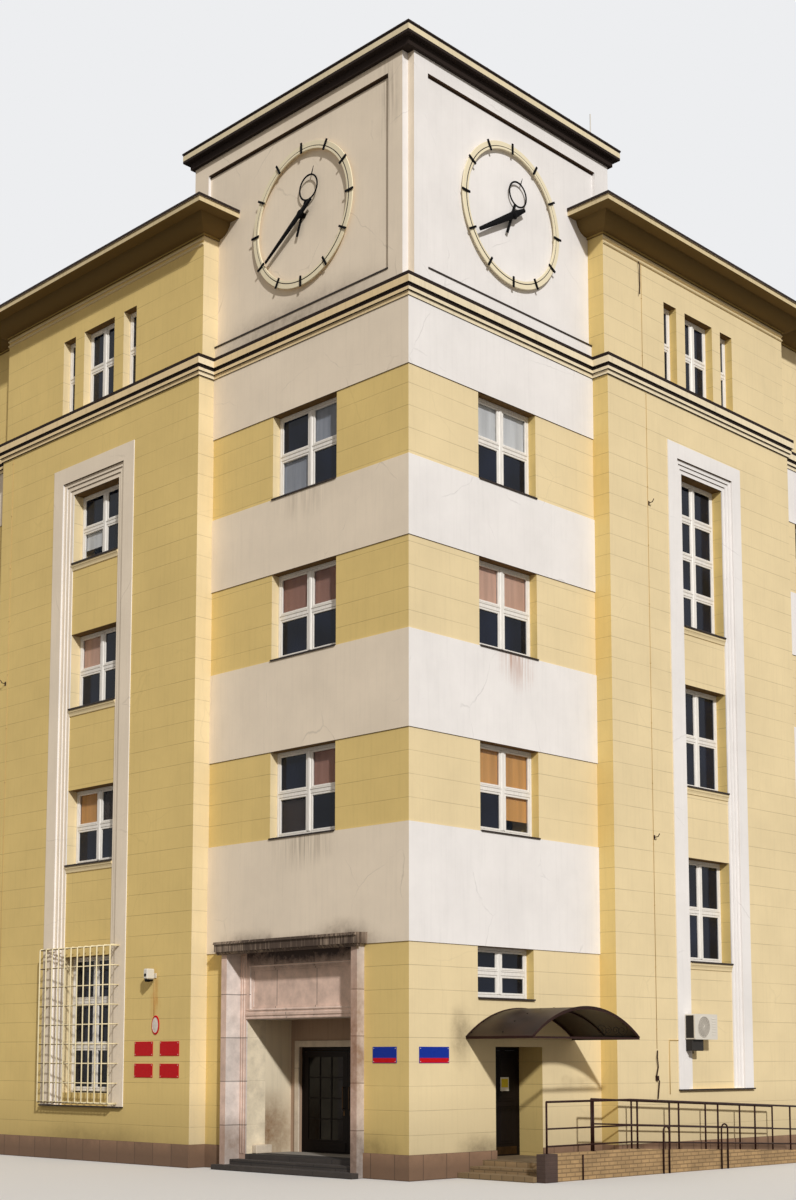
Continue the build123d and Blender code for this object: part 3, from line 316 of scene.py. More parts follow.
        # Undersides painted dark: painted shade, with the dirt they hold
        facing = add_node(tree, "ShaderNodeNewGeometry")
        normal = add_node(tree, "ShaderNodeSeparateXYZ", {0: facing.outputs["True Normal"]})
        test = add_node(tree, "ShaderNodeMath", {0: normal.outputs["Z"], 1: -0.2}, operation="LESS_THAN")
        changed = add_node(tree, "ShaderNodeMix", {0: test.outputs[0], 6: shown, 7: under}, data_type="RGBA")
        shown = changed.outputs[2]
    # Float marks, 2 mm grain drawn at 12 mm
    grain = add_node(tree, "ShaderNodeTexNoise", {"Vector": spot, "Scale": 80.0, "Detail": 3.0})
    finish_surface(tree, principled, shown, (grain.outputs["Fac"], 0.18, 0.004), cut)
    return made


def dressed_stone(name, colour, course, length, dark=0.45, low=0.0, varied=0.84, end=None, left_coat_and_shade=None,
                  stains_and_shadows=()):
    """Sandstone, granite or brick in courses: each block has its own tone, with tight joints of 12 mm.

    One end may be of another make: a limit along X, its colour and the test for it.
    """
    made, tree, principled = new_material(name, colour, Roughness=0.8)
    spot = add_node(tree, "ShaderNodeTexCoord").outputs["Object"]
    split = add_node(tree, "ShaderNodeSeparateXYZ", {0: spot})
    along = add_node(tree, "ShaderNodeMath", {0: split.outputs["X"], 1: split.outputs["Y"]}, operation="ADD")
    flat = add_node(tree, "ShaderNodeCombineXYZ", {0: along.outputs[0], 1: split.outputs["Z"], 2: 0.0})
    blocks = add_node(tree, "ShaderNodeTexBrick",
                      {"Vector": flat.outputs[0], "Brick Width": length, "Row Height": course,
                       "Color1": shade(colour, 1.06), "Color2": shade(colour, varied),
                       "Mortar": shade(colour, dark), "Mortar Size": 0.012, "Mortar Smooth": 0.3,
                       "Scale": 1.0}, offset=0.5)
    mottle = add_node(tree, "ShaderNodeTexNoise", {"Vector": spot, "Scale": 3.2, "Detail": 8.0,
                                                   "Roughness": 0.66})
    mottled = (mottle.outputs["Fac"], (0.3, 0.72), (0.72, 1.12))
    shown = vary(tree, blocks.outputs["Color"], *mottled)
    if low:
        splash = add_node(tree, "ShaderNodeMapRange", {0: split.outputs["Z"], 1: 0.2, 2: low, 3: 0.9, 4: 0.0})
        darkening = add_node(tree, "ShaderNodeMath", {0: splash.outputs[0], 1: mottle.outputs["Fac"]},
                        operation="MULTIPLY")
        dirty = add_node(tree, "ShaderNodeMix", {0: darkening.outputs[0], 6: shown, 7: shade(colour, 0.25)},
                         data_type="RGBA")
        shown = dirty.outputs[2]
    shown = stain(tree, spot, shown, stains_and_shadows)
    # Faces turned to the left street: a warmer, darker tone, painted shade with an older coat
    if left_coat_and_shade:
        shown = warm(tree, shown, left_coat_and_shade)
    if end:
        limit, other, test = end
        beyond = add_node(tree, "ShaderNodeMath", {0: split.outputs["X"], 1: limit}, operation=test)
        changed = add_node(tree, "ShaderNodeMix", {0: beyond.outputs[0], 6: shown,
                                                   7: vary(tree, other, *mottled)}, data_type="RGBA")
        shown = changed.outputs[2]
    rough = add_node(tree, "ShaderNodeTexNoise", {"Vector": spot, "Scale": 45.0, "Detail": 4.0})
    finish_surface(tree, principled, shown, (rough.outputs["Fac"], 0.3, 0.004),
                   (blocks.outputs["Fac"], 0.6, 0.006))
    return made


def rained_stone(name, dark, pale):
    """Sandstone that rain runs over: black crust, washed pale in streaks 25 mm wide."""
    made, tree, principled = new_material(name, dark, Roughness=0.85)
    spot = add_node(tree, "ShaderNodeTexCoord").outputs["Object"]
    stretch = add_node(tree, "ShaderNodeMapping", {"Vector": spot, "Scale": (20.0, 20.0, 0.9)})
    streak = add_node(tree, "ShaderNodeTexNoise", {"Vector": stretch.outputs[0], "Scale": 1.0, "Detail": 6.0})
    patch = add_node(tree, "ShaderNodeTexNoise", {"Vector": spot, "Scale": 0.9, "Detail": 4.0})
    both = add_node(tree, "ShaderNodeMath", {0: streak.outputs["Fac"], 1: patch.outputs["Fac"]},
                    operation="ADD")
    washed = add_node(tree, "ShaderNodeMapRange", {0: both.outputs[0], 1: 0.96, 2: 1.22, 3: 0.0, 4: 0.62})
    mixed = add_node(tree, "ShaderNodeMix", {0: washed.outputs[0], 6: dark, 7: pale}, data_type="RGBA")
    rough = add_node(tree, "ShaderNodeTexNoise", {"Vector": spot, "Scale": 38.0, "Detail": 4.0})
    finish_surface(tree, principled, mixed.outputs[2], (rough.outputs["Fac"], 0.4, 0.006))
    return made


def painted_metal(name, colour, roughness=0.6, worn=0.0, gloss=0.22, sun_shade=0.0):
    """Brushed-on oil paint over steel: a slight orange peel and rust where it has chipped.

    Sides turned away from the sun may get painted shade, a brown tone which makes thin bars stand out.
    """
    made, tree, principled = new_material(name, colour, Roughness=roughness, Specular_IOR_Level=gloss)
    spot = add_node(tree, "ShaderNodeTexCoord").outputs["Object"]
    spots = add_node(tree, "ShaderNodeTexNoise",
                     {"Vector": spot, "Scale": 6.5, "Detail": 7.0, "Roughness": 0.7})
    chipped = add_node(tree, "ShaderNodeMapRange",
                       {0: spots.outputs["Fac"], 1: 0.58, 2: 0.7, 3: 0.0, 4: worn})
    rusty = add_node(tree, "ShaderNodeMix", {0: chipped.outputs[0], 6: colour, 7: linear("#6B3A22")},
                     data_type="RGBA")
    shown = rusty.outputs[2]
    # Painted shade: a brown tone on the sides turned away from the sun
    if sun_shade:
        facing = add_node(tree, "ShaderNodeNewGeometry")
        washed = add_node(tree, "ShaderNodeVectorMath",
                          {0: facing.outputs["Normal"], 1: (-0.25, -0.75, 0.60)},
                          operation="DOT_PRODUCT")
        shade_amount = add_node(tree, "ShaderNodeMapRange", {0: washed.outputs["Value"], 1: 0.25, 2: -0.25, 3: 0.0,
                                                     4: sun_shade})
        dirty = add_node(tree, "ShaderNodeMix", {0: shade_amount.outputs[0], 6: shown, 7: linear("#5A3A20")},
                         data_type="RGBA")
        shown = dirty.outputs[2]
    peel = add_node(tree, "ShaderNodeTexNoise", {"Vector": spot, "Scale": 60.0, "Detail": 2.0})
    finish_surface(tree, principled, shown, (peel.outputs["Fac"], 0.12, 0.002))
    return made


def painted_wood(name, colour):
    """Oil paint on pine: brush strokes along the wood."""
    made, tree, principled = new_material(name, colour, Roughness=0.42)
    spot = add_node(tree, "ShaderNodeTexCoord").outputs["Object"]
    stretch = add_node(tree, "ShaderNodeMapping", {"Vector": spot, "Scale": (30.0, 30.0, 3.0)})
    stroke = add_node(tree, "ShaderNodeTexNoise", {"Vector": stretch.outputs[0], "Scale": 2.0, "Detail": 5.0})
    shown = vary(tree, colour, stroke.outputs["Fac"], (0.35, 0.7), (1.03, 0.86))
    finish_surface(tree, principled, shown, (stroke.outputs["Fac"], 0.15, 0.0015))
    return made


def stained_wood(name, colour):
    """Oak stained brown and oiled: long grain 4 mm wide, drawn at 12 mm."""
    made, tree, principled = new_material(name, colour, Roughness=0.5, Specular_IOR_Level=0.1)
    spot = add_node(tree, "ShaderNodeTexCoord").outputs["Object"]
    stretch = add_node(tree, "ShaderNodeMapping", {"Vector": spot, "Scale": (14.0, 14.0, 0.9)})
    grain = add_node(tree, "ShaderNodeTexNoise", {"Vector": stretch.outputs[0], "Scale": 5.0, "Detail": 8.0,
                                                  "Distortion": 0.6})
    shown = vary(tree, colour, grain.outputs["Fac"], (0.3, 0.7), (0.6, 1.25))
    finish_surface(tree, principled, shown, (grain.outputs["Fac"], 0.25, 0.002))
    return made


def float_glass(name, colour, alpha):
    """Old float glass before a dim room: a hard clean gloss with a slight wave."""
    made, tree, principled = new_material(name, colour, Roughness=0.06, IOR=1.5, Alpha=alpha,
                                          Specular_IOR_Level=0.22)
    spot = add_node(tree, "ShaderNodeTexCoord").outputs["Object"]
    wave = add_node(tree, "ShaderNodeTexNoise", {"Vector": spot, "Scale": 1.1, "Detail": 1.0})
    shown = vary(tree, colour, wave.outputs["Fac"], (0.35, 0.7), (0.6, 1.8))
    finish_surface(tree, principled, shown, (wave.outputs["Fac"], 0.08, 0.01))
    return made


def blind_fabric(name, colour):
    """Woven roller blind: a 3 mm thread, drawn at 14 mm, and faint folds down the cloth."""
    made, tree, principled = new_material(name, colour, Roughness=0.9)
    spot = add_node(tree, "ShaderNodeTexCoord").outputs["Object"]
    weave = add_node(tree, "ShaderNodeTexWave", {"Vector": spot, "Scale": 22.0, "Distortion": 1.2},
                     bands_direction="Z")
    stretch = add_node(tree, "ShaderNodeMapping", {"Vector": spot, "Scale": (5.0, 5.0, 0.3)})
    fold = add_node(tree, "ShaderNodeTexNoise", {"Vector": stretch.outputs[0], "Scale": 1.5, "Detail": 3.0})
    shown = vary(tree, colour, fold.outputs["Fac"], (0.3, 0.7), (0.82, 1.08))
    finish_surface(tree, principled, shown, (weave.outputs["Fac"], 0.1, 0.002))
    return made


def cast_sheet(name, colour):
    """Brown polycarbonate sheet, ten years old: dulled by dust, so it keeps only a broad soft shine."""
    made, tree, principled = new_material(name, colour, Roughness=0.42, IOR=1.58, Alpha=0.97,
                                          Specular_IOR_Level=0.16)
    spot = add_node(tree, "ShaderNodeTexCoord").outputs["Object"]
    dust = add_node(tree, "ShaderNodeTexNoise", {"Vector": spot, "Scale": 2.2, "Detail": 6.0})
    shown = vary(tree, colour, dust.outputs["Fac"], (0.35, 0.7), (0.7, 1.35))
    tree.links.new(shown, principled.inputs["Base Color"])
    return made


def enamel(name, colour, roughness=0.22):
    """Enamel or laminate fired or pressed on a plate: even colour, a clear shine and a faint ripple."""
    made, tree, principled = new_material(name, colour, Roughness=roughness, Specular_IOR_Level=0.1)
    spot = add_node(tree, "ShaderNodeTexCoord").outputs["Object"]
    ripple = add_node(tree, "ShaderNodeTexNoise", {"Vector": spot, "Scale": 24.0, "Detail": 2.0})
    shown = vary(tree, colour, ripple.outputs["Fac"], (0.3, 0.7), (0.92, 1.05))
    finish_surface(tree, principled, shown, (ripple.outputs["Fac"], 0.08, 0.003))
    return made


def cast_metal(name, colour):
    """Cast brass, dull where it is out of reach and bright where hands rub it."""
    made, tree, principled = new_material(name, colour, Roughness=0.5, Metallic=1.0)
    spot = add_node(tree, "ShaderNodeTexCoord").outputs["Object"]
    rub = add_node(tree, "ShaderNodeTexNoise", {"Vector": spot, "Scale": 9.0, "Detail": 4.0})
    shown = vary(tree, colour, rub.outputs["Fac"], (0.3, 0.7), (0.6, 1.2))
    tree.links.new(shown, principled.inputs["Base Color"])
    return made


def roof_sheet(name, colour, seam_pitch=0.6):
    """Hot-dip galvanised roof sheet, weathered, with folded seams every 600 mm."""
    made, tree, principled = new_material(name, colour, Roughness=0.5, Metallic=0.35)
    spot = add_node(tree, "ShaderNodeTexCoord").outputs["Object"]
    split = add_node(tree, "ShaderNodeSeparateXYZ", {0: spot})
    turn = add_node(tree, "ShaderNodeMath", {0: split.outputs["X"], 1: seam_pitch}, operation="DIVIDE")
    part = add_node(tree, "ShaderNodeMath", {0: turn.outputs[0]}, operation="FRACT")
    seam = add_node(tree, "ShaderNodeMath", {0: part.outputs[0], 1: 0.05}, operation="LESS_THAN")
    spots = add_node(tree, "ShaderNodeTexNoise", {"Vector": spot, "Scale": 1.8, "Detail": 7.0})
    shown = vary(tree, colour, spots.outputs["Fac"], (0.3, 0.7), (0.75, 1.15))
    lined = add_node(tree, "ShaderNodeMix", {0: seam.outputs[0], 6: shown, 7: shade(colour, 0.6)},
                     data_type="RGBA")
    finish_surface(tree, principled, lined.outputs[2], (seam.outputs[0], 0.8, 0.02))
    return made


# Every material of the building by its short name
MATERIALS = {}


def make_render(yellow, white, dark):
    """Makes the renders of the fronts, with their stains, the painted shade and older coat of the left
    street's faces, and painted shade on undersides and moulding bands.
    """
    m = MATERIALS
    # darkening: the dark of the metal covers, and of painted shade under the mouldings
    darkening, crust = linear("#231812"), linear("#463425")
    course = bpy.context.scene.building_joinery.course
    # Tone of the faces turned to the left street, painted shade for the low light there and an older coat,
    # and how far along X it reaches
    yellow_coat_and_shade = ((0.95, 0.87, 0.57, 1.0), 30.0)
    white_coat_and_shade = ((1.0, 0.90, 0.74, 1.0), 0.9)
    m["yellow_render"] = lime_render(
        "lime_render_yellow_floated", yellow, course, crack=0.12, grime=0.14, low=1.6,
        under=linear("#6E5430"), left_coat_and_shade=yellow_coat_and_shade, stains_and_shadows=(
            # Soot left of the canopy, splashes at the foot, and rust under the camera
            ((1.40, 0.0, 2.62), (0.45, 1.0, 0.75), crust, 0.5, False),
            ((2.0, 0.0, 0.50), (0.9, 1.0, 0.40), crust, 0.55, False),
            ((0.0, 0.9, 0.50), (1.0, 0.9, 0.45), crust, 0.4, False),
            ((-BAY_OUT, 7.0, 3.45), (0.8, 0.22, 0.75), linear("#D08A2C"), 0.8, True),
            ((-BAY_OUT, 9.2, 0.45), (1.0, 3.6, 0.45), crust, 0.3, False)))
    m["white_render"] = lime_render(
        "lime_render_white_floated", white, crack=0.35, grime=0.12, under=linear("#54402F"), left_coat_and_shade=white_coat_and_shade,
        stains_and_shadows=(
            # Soot along the hood, streaks under the sills, and dirt in the head panel
            ((0.0, 4.6, BAND_1 + 0.02), (0.9, 1.3, 0.50), crust, 0.7, False),
            ((0.0, 1.75, BAND_1 + 0.02), (0.9, 1.2, 0.60), crust, 0.75, False),
            ((0.0, 3.1, BAND_1 - 0.05), (0.9, 3.1, 0.42), crust, 0.8, False),
            ((3.05, 0.0, SILL_2 - 0.10), (0.7, 0.9, 0.80), linear("#A8683C"), 0.6, True),
            ((0.0, 2.9, SILL_1 - 0.15), (0.9, 1.2, 0.70), crust, 0.35, True),
            ((0.0, 2.9, SILL_3 - 0.15), (0.9, 1.2, 0.60), crust, 0.25, True),
            ((0.0, 3.4, STRING + 0.60), (0.9, 3.9, 0.75), crust, 0.45, False),
            ((0.0, 0.55, HEAD - 0.7), (0.9, 0.5, 1.3), crust, 0.35, True)))
    # Eaves: the cove and soffit band painted olive as shade, the top a dark metal edge, undersides painted
    # shade
    m["eaves_render"] = lime_render(
        "lime_render_yellow_eaves", shade(yellow, 0.86), grime=0.5, under=linear("#6E5830"),
        levels=((EAVES - 0.5, EAVES + 0.302, linear("#A58A4E")), (EAVES + 0.402, EAVES + 1.0, dark)))
    # String course: a dark metal cover on top, and a band under its fascia painted dark as shade
    m["string_render"] = lime_render(
        "lime_render_cream_run_moulding", linear("#EFE0C0"), grime=0.4, left_coat_and_shade=white_coat_and_shade, under=darkening,
        levels=((ATTIC - 0.075, ATTIC + 0.5, darkening), (STRING + 0.150, STRING + 0.2145, darkening)))
    # Cornice: its soffit and bed painted dark as shade, with their dirt, below a pale lip and a dark metal
    # cover
    m["head_roof"] = lime_render(
        "lime_render_cream_cornice", linear("#EADBB8"), grime=0.3, under=darkening,
        levels=((HEAD - 0.5, HEAD + 0.205, darkening), (HEAD + 0.315, HEAD + 0.9, dark)))
    m["party_render"] = lime_render("cement_render_rough_cast", linear("#C9B58A"), grime=0.4, low=2.0)
    m["plain_yellow"] = lime_render("lime_render_yellow_run_moulding", shade(yellow, 0.93), grime=0.2)
    # Dark lines: open joints, and painted shadow with dirt under the head panels
    m["soot_line"] = lime_render("dark_line_on_render", linear("#3C2C20"), grime=0.2)
    m["floor_slab"] = lime_render("concrete_floated", linear("#8F8A82"), grime=0.1)


def make_stone(stone, plinth):
    """Makes the stones of the portal, the plinth, the steps and the ramp, and the porch plaster."""
    m = MATERIALS
    plaster, crust = linear("#EADBBE"), linear("#463425")
    # Portal faces turned to the left street: a darker, warmer tone, painted shade with an older coat
    stone_coat_and_shade = ((1.0, 0.83, 0.74, 1.0), 0.9)
    m["portal_stone"] = dressed_stone(
        "sandstone_dressed_rubbed", stone, 0.87, 3.7, low=1.1, left_coat_and_shade=stone_coat_and_shade,
        stains_and_shadows=(((-0.19, 1.25, 2.4), (0.5, 0.5, 2.6), linear("#8A6B52"), 0.85, False),
                ((-0.19, 1.25, 0.4), (0.5, 0.5, 0.9), crust, 0.7, False),
                ((0.0, 4.9, 0.5), (0.6, 0.7, 0.8), linear("#7A5E46"), 0.6, False)),
        end=(0.215, plaster, "GREATER_THAN"))
    # Beam of the portal: the dark patch along its top is painted shadow of the hood
    m["lintel_stone"] = dressed_stone(
        "sandstone_lintel_rubbed", stone, 9.0, 1.17, varied=0.90, left_coat_and_shade=stone_coat_and_shade,
        stains_and_shadows=(((0.18, 3.1, 4.46), (0.9, 4.2, 0.66), linear("#33261F"), 1.7, False),))
    m["porch_plaster"] = lime_render(
        "lime_plaster_cream_trowelled", plaster, grime=0.3, low=2.3,
        stains_and_shadows=(((0.75, 4.76, 0.75), (1.2, 0.9, 1.0), linear("#7A5530"), 0.85, False),))
    # Back of the porch: plaster painted darker than the sides, as the shade deep in the porch
    m["porch_back"] = lime_render("lime_plaster_darkened_painted_shade", linear("#A98F79"), grime=0.3)
    m["plinth_stone"] = dressed_stone("granite_bush_hammered", plinth, 0.47, 0.62, dark=0.5, low=0.5)
    m["hood_stone"] = rained_stone("sandstone_rain_stained", linear("#46372C"), linear("#B9A48F"))
    m["step_stone"] = dressed_stone("basalt_honed", linear("#3B342F"), 0.15, 1.2)
    m["ramp_brick"] = dressed_stone("clinker_brick_fired", linear("#B59468"), 0.075, 0.25, dark=0.55,
                                    end=(1.71, linear("#4A3830"), "LESS_THAN"))
    m["step_brick"] = dressed_stone("clinker_brick_steps_worn", linear("#A78C66"), 0.15, 0.27, dark=0.5,
                                    low=0.35)
    m["pale_stone"] = dressed_stone("limestone_rubbed_pale", linear("#CDBEA9"), 2.0, 3.0, dark=0.8)


def make_fittings(dark, paint):
    """Makes the metals, woods, glasses, sheets and enamels."""
    m = MATERIALS
    m["dark_metal"] = painted_metal("steel_sheet_oil_painted_brown", dark, 0.5, 0.15)
    m["black_iron"] = painted_metal("steel_oil_painted_black", linear("#0B0A0B"), gloss=0.06)
    m["rail_steel"] = painted_metal("steel_tube_oil_painted_brown", linear("#2E1814"), 0.45, 0.2, gloss=0.12)
    # Ivory grille, with brown painted shade on the sides of its bars turned away from the sun
    m["ivory_iron"] = painted_metal("wrought_iron_oil_painted_ivory", linear("#EBDDB6"), 0.5, 0.6,
                                    sun_shade=0.9)
    m["clock_cream"] = painted_metal("steel_ring_enamelled_cream", linear("#EFE3C3"), 0.45, 0.05)
    m["white_metal"] = painted_metal("steel_powder_coated_white", linear("#DAD4C8"), 0.4, 0.1)
    m["cable_sheath"] = painted_metal("cable_sheath_extruded_ochre", linear("#C9AC74"))
    m["unit_shade"] = painted_metal("steel_powder_coated_grey", linear("#2B2825"), worn=0.1)
    m["fan_grey"] = painted_metal("steel_powder_coated_pale_grey", linear("#A39C92"))
    m["joinery"] = painted_wood("pine_oil_painted_white", paint)
    m["door_wood"] = stained_wood("oak_stained_oiled", linear("#120B08"))
    # Dark glass: painted shade of the dim rooms behind it
    m["glass"] = float_glass("glass_float_before_a_dim_room", linear("#0D1322"), 0.86)
    m["clear_glass"] = float_glass("glass_float_clear", linear("#2A3340"), 0.14)
    m["door_glass"] = float_glass("glass_float_smoked", linear("#080707"), 0.94)
    m["canopy"] = cast_sheet("polycarbonate_extruded_brown", linear("#2C1D13"))
    m["worn_brass"] = cast_metal("brass_cast_worn", linear("#4A3724"))
    m["blue_enamel"] = enamel("steel_plate_enamelled_blue", linear("#0F2F98"))
    m["red_enamel"] = enamel("steel_plate_enamelled_red", linear("#C40C16"))
    m["pale_enamel"] = enamel("steel_plate_enamelled_pale", linear("#DDD2C6"))
    m["notice_white"] = enamel("paper_laminated_white", linear("#E2DFD2"), 0.6)
    m["notice_yellow"] = enamel("paper_laminated_yellow", linear("#D8C43A"), 0.6)
    m["roof"] = roof_sheet("galvanised_steel_seamed", linear("#7C746B"))


# Finish of each solid that the frame brings
NODE_FINISH = {
    "yellow_render": ("attic_walls", "bay_walls", "far_walls", "tower_piers_right", "tower_piers_left",
                      "tower_wall_left", "tower_wall_right", "return_piers", "yard_wall_right",
                      "yard_wall_left"),
    "white_render": ("white_bands", "strip_frames", "clock_wall_left", "clock_wall_right",
                     "tower_rear_wall_right", "tower_rear_wall_left"),
    "string_render": ("string_course",),
    "eaves_render": ("eaves",),
    "head_roof": ("tower_roof",),
    "roof": ("wing_roof_right", "wing_roof_left", "bay_roofs"),
    "party_render": ("party_walls",),
    "floor_slab": ("floors",),
    "plinth_stone": ("plinth",),
    "portal_stone": ("portal_jambs",),
    "lintel_stone": ("portal_beam",),
    "hood_stone": ("portal_hood",),
    "step_stone": ("portal_steps",),
    "step_brick": ("ramp_and_steps",),
    "ramp_brick": ("ramp_kerb",),
    "porch_back": ("porch_back_lintel", "porch_back_piers", "porch_ceiling"),
    "porch_plaster": ("porch_side_walls",),
    "dark_metal": ("window_sills", "strip_sills"),
    "glass": ("window_glass",),
    "clock_cream": ("clock_rings",),
    "black_iron": ("hour_marks", "clock_spindles", "hour_hand_left", "hour_hand_right", "minute_hand_left",
                   "minute_hand_right"),
    "canopy": ("canopy_sheet",),
    "rail_steel": ("canopy_frame", "ramp_railing"),
    "ivory_iron": ("iron_grille",),
    "white_metal": ("lightning_rod", "air_conditioner", "camera_housing"),
    "door_wood": ("door_frames", "main_door_leaf_left", "main_door_leaf_right", "side_door_leaf"),
    "joinery": ("window_frames_street", "window_frames_yard"),
}


# Mesh helpers: a front is named by its side
def at(side, u, out, z):
    """Point on a front: u along it from the street corner, out from its face and z up."""
    return Vector((u, -out, z)) if side == "right" else Vector((-out, u, z))


def block(bm, side, u0, u1, out0, out1, z0, z1, bevel=0.0):
    """Block on a front between two u, two depths and two heights, with its edges eased."""
    corners = [bm.verts.new(at(side, u, out, z)) for z in (z0, z1) for u, out in
               ((u0, out0), (u1, out0), (u1, out1), (u0, out1))]
    faces = []
    for order in ((3, 2, 1, 0), (4, 5, 6, 7), (0, 1, 5, 4), (1, 2, 6, 5), (2, 3, 7, 6), (3, 0, 4, 7)):
        faces.append(bm.faces.new([corners[i] for i in order]))
    if bevel:
        edges = list({e for f in faces for e in f.edges})
        bmesh.ops.bevel(bm, geom=edges, offset=bevel, segments=1, affect="EDGES")


def loft(bm, outlines, closed=False):
    """Skin over outlines that follow each other, with end faces or joined to itself."""
    rings = [[bm.verts.new(spot) for spot in outline] for outline in outlines]
    count = len(rings[0])
    pairs = list(zip(rings, rings[1:]))
    if closed:
        pairs.append((rings[-1], rings[0]))
    for low, high in pairs:
        for k in range(count):
            bm.faces.new((low[k], low[(k + 1) % count], high[(k + 1) % count], high[k]))
    if not closed:
        bm.faces.new(rings[0])
        bm.faces.new(rings[-1])


def tube(bm, points, radius, segments=12, closed=False):
    """Round bar bent along a line of points and mitred at its corners."""
    count = len(points)
    across = (points[1] - points[0]).orthogonal().normalized()
    outlines = []
    for i, point in enumerate(points):
        if closed or i < count - 1:
            after = (points[(i + 1) % count] - point).normalized()
        before = (point - points[i - 1]).normalized() if closed or i else after
        if i:
            across = last.rotation_difference(before) @ across
        last = before
        other = before.cross(across)
        bisector = (before + after).normalized()
        outline = []
        for k in range(segments):
            angle = 2 * math.pi * k / segments
            offset = (across * math.cos(angle) + other * math.sin(angle)) * radius
            outline.append(point + offset - before * (offset.dot(bisector) / before.dot(bisector)))
        outlines.append(outline)
    loft(bm, outlines, closed)


def bar(bm, side, spots, radius, segments=8):
    """Round bar through points on a front, each given as (u, out, z)."""
    tube(bm, [at(side, *spot) for spot in spots], radius, segments)


def circle(side, u, z, out, half_u, half_z, count):
    """Points of a circle or an oval that lies flat on a front."""
    turns = [2 * math.pi * k / count for k in range(count)]
    return [at(side, u + half_u * math.cos(turn), out, z + half_z * math.sin(turn)) for turn in turns]


def turned(bm, side, u, z, profile, segments=48, second=(), stretch=1.0):
    """Profile of (radius, out) points turned round an axis that stands out from a front.

    The rows named in second get the second material, and stretch makes the round an upright oval.
    """
    rings = []
    for radius, out in profile:
        spots = [at(side, u, out, z)]
        if radius:
            spots = circle(side, u, z, out, radius, radius * stretch, segments)
        rings.append([bm.verts.new(spot) for spot in spots])
    for row, (low, high) in enumerate(zip(rings, rings[1:])):
        for k in range(segments):
            n = (k + 1) % segments
            corners = [low[k % len(low)]] + ([low[n]] if len(low) > 1 else []) + (
                [high[n]] if len(high) > 1 else []) + [high[k % len(high)]]
            bm.faces.new(corners).material_index = 1 if row in second else 0


def run(bm, side, u0, u1, profile):
    """Moulding of (out, z) points run along a front from one u to another."""
    loft(bm, [[at(side, u, out, z) for out, z in profile] for u in (u0, u1)])


def upright(bm, side, z0, z1, profile):
    """Moulding of (u, out) points run up a front from one z to another."""
    loft(bm, [[at(side, u, out, z) for u, out in profile] for z in (z0, z1)])


def bead(low, high, face, rise, ease):
    """Profile of a flat bead between two lines: points across it and out from the face."""
    return [(low, face), (low + ease, face + rise), (high - ease, face + rise), (high, face)]


def piece(name, bm, material, body="building", smooth=False):
    """Turns a mesh under construction into a named piece that rides on a body."""
    bmesh.ops.recalc_face_normals(bm, faces=bm.faces)
    mesh = bpy.data.meshes.new(name)
    bm.to_mesh(mesh)
    bm.free()
    made = bpy.data.objects.new(name, mesh)
    bpy.context.scene.collection.objects.link(made)
    for m in material if isinstance(material, (list, tuple)) else [material]:
        mesh.materials.append(MATERIALS[m] if isinstance(m, str) else m)
    if smooth:
        for face in mesh.polygons:
            face.use_smooth = True
    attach(made, body)
    return made


def around(u, w, z0, z1):
    """Outline of a window from its centre along the front, its width, its sill and its head."""
    return (u - w / 2, u + w / 2, z0, z1)


# Windows by storey and front
ROWS = [(SILL_1, BAND_2), (SILL_2, BAND_3), (SILL_3, FRIEZE)]
FAR_ROWS = [(BAND_1 - 2.2, BAND_1)] + ROWS
ATTIC_ROW = (ATTIC + 0.06, ATTIC + 1.92)
TOWER_RIGHT = [around(2.85, 1.75, *row) for row in ROWS] + [around(2.70, 1.65, BAND_1 - 1.0, BAND_1)]
TOWER_LEFT = [around(2.93, 1.90, *row) for row in ROWS]
STRIP_RIGHT = [around(BAY_RIGHT_U, 1.6, SILL_2 + 1.5, FRIEZE - 0.155),
               around(BAY_RIGHT_U, 1.6, SILL_1 + 1.56, SILL_2 + 0.21),
               around(BAY_RIGHT_U, 1.6, BAND_1 - 0.06, SILL_1)]
STRIP_LEFT = [around(BAY_LEFT_U, 1.76, SILL_3 - 0.04, FRIEZE - 0.16),
              around(BAY_LEFT_U, 1.76, SILL_2 - 0.09, BAND_3 - 0.13),
              around(BAY_LEFT_U, 1.76, SILL_1 - 0.04, BAND_2 - 0.08)]
STRIPS = [("right", window) for window in STRIP_RIGHT] + [("left", window) for window in STRIP_LEFT]
GRILLE_WINDOW = around(BAY_LEFT_U, 1.76, 1.45, 4.45)


def far_windows():
    """Side and outline of each window beyond the bays, on two axes along each street."""
    made = []
    for side, start, attic_width in (("right", X_FAR, 1.08), ("left", Y_FAR, 1.18)):
        axes = [start + 1.9 + i * 3.1 for i in range(2)]
        made += [(side, around(u, 1.85, *row)) for u in axes for row in FAR_ROWS]
        made += [(side, around(u, attic_width, *ATTIC_ROW)) for u in axes]
    return made


def street_windows():
    """Side, glass plane, outline, columns and rows of each street window."""
    reveal = bpy.context.scene.building_joinery.reveal
    strip, attic = FIELD_OUT - STRIP_REVEAL, ATTIC_OUT - reveal
    made = [("right", -reveal, w, 2, 2) for w in TOWER_RIGHT]
    made += [("left", -reveal, w, 2, 2) for w in TOWER_LEFT]
    made += [(side, -reveal, w, 2, 2) for side, w in far_windows()]
    made += [(side, strip, w, 2, 4 if w is STRIP_RIGHT[0] else 2) for side, w in STRIPS]
    made.append(("left", strip, GRILLE_WINDOW, 2, 3))
    for side, middle, apart, width in (("right", BAY_RIGHT_U, 1.11, 1.08), ("left", BAY_LEFT_U, 1.18, 1.18)):
        made += [(side, attic, around(middle + s * apart, 0.48, *ATTIC_ROW), 1, 2) for s in (-1, 1)]
        made.append((side, attic, around(middle, width, *ATTIC_ROW), 2, 2))
    return made


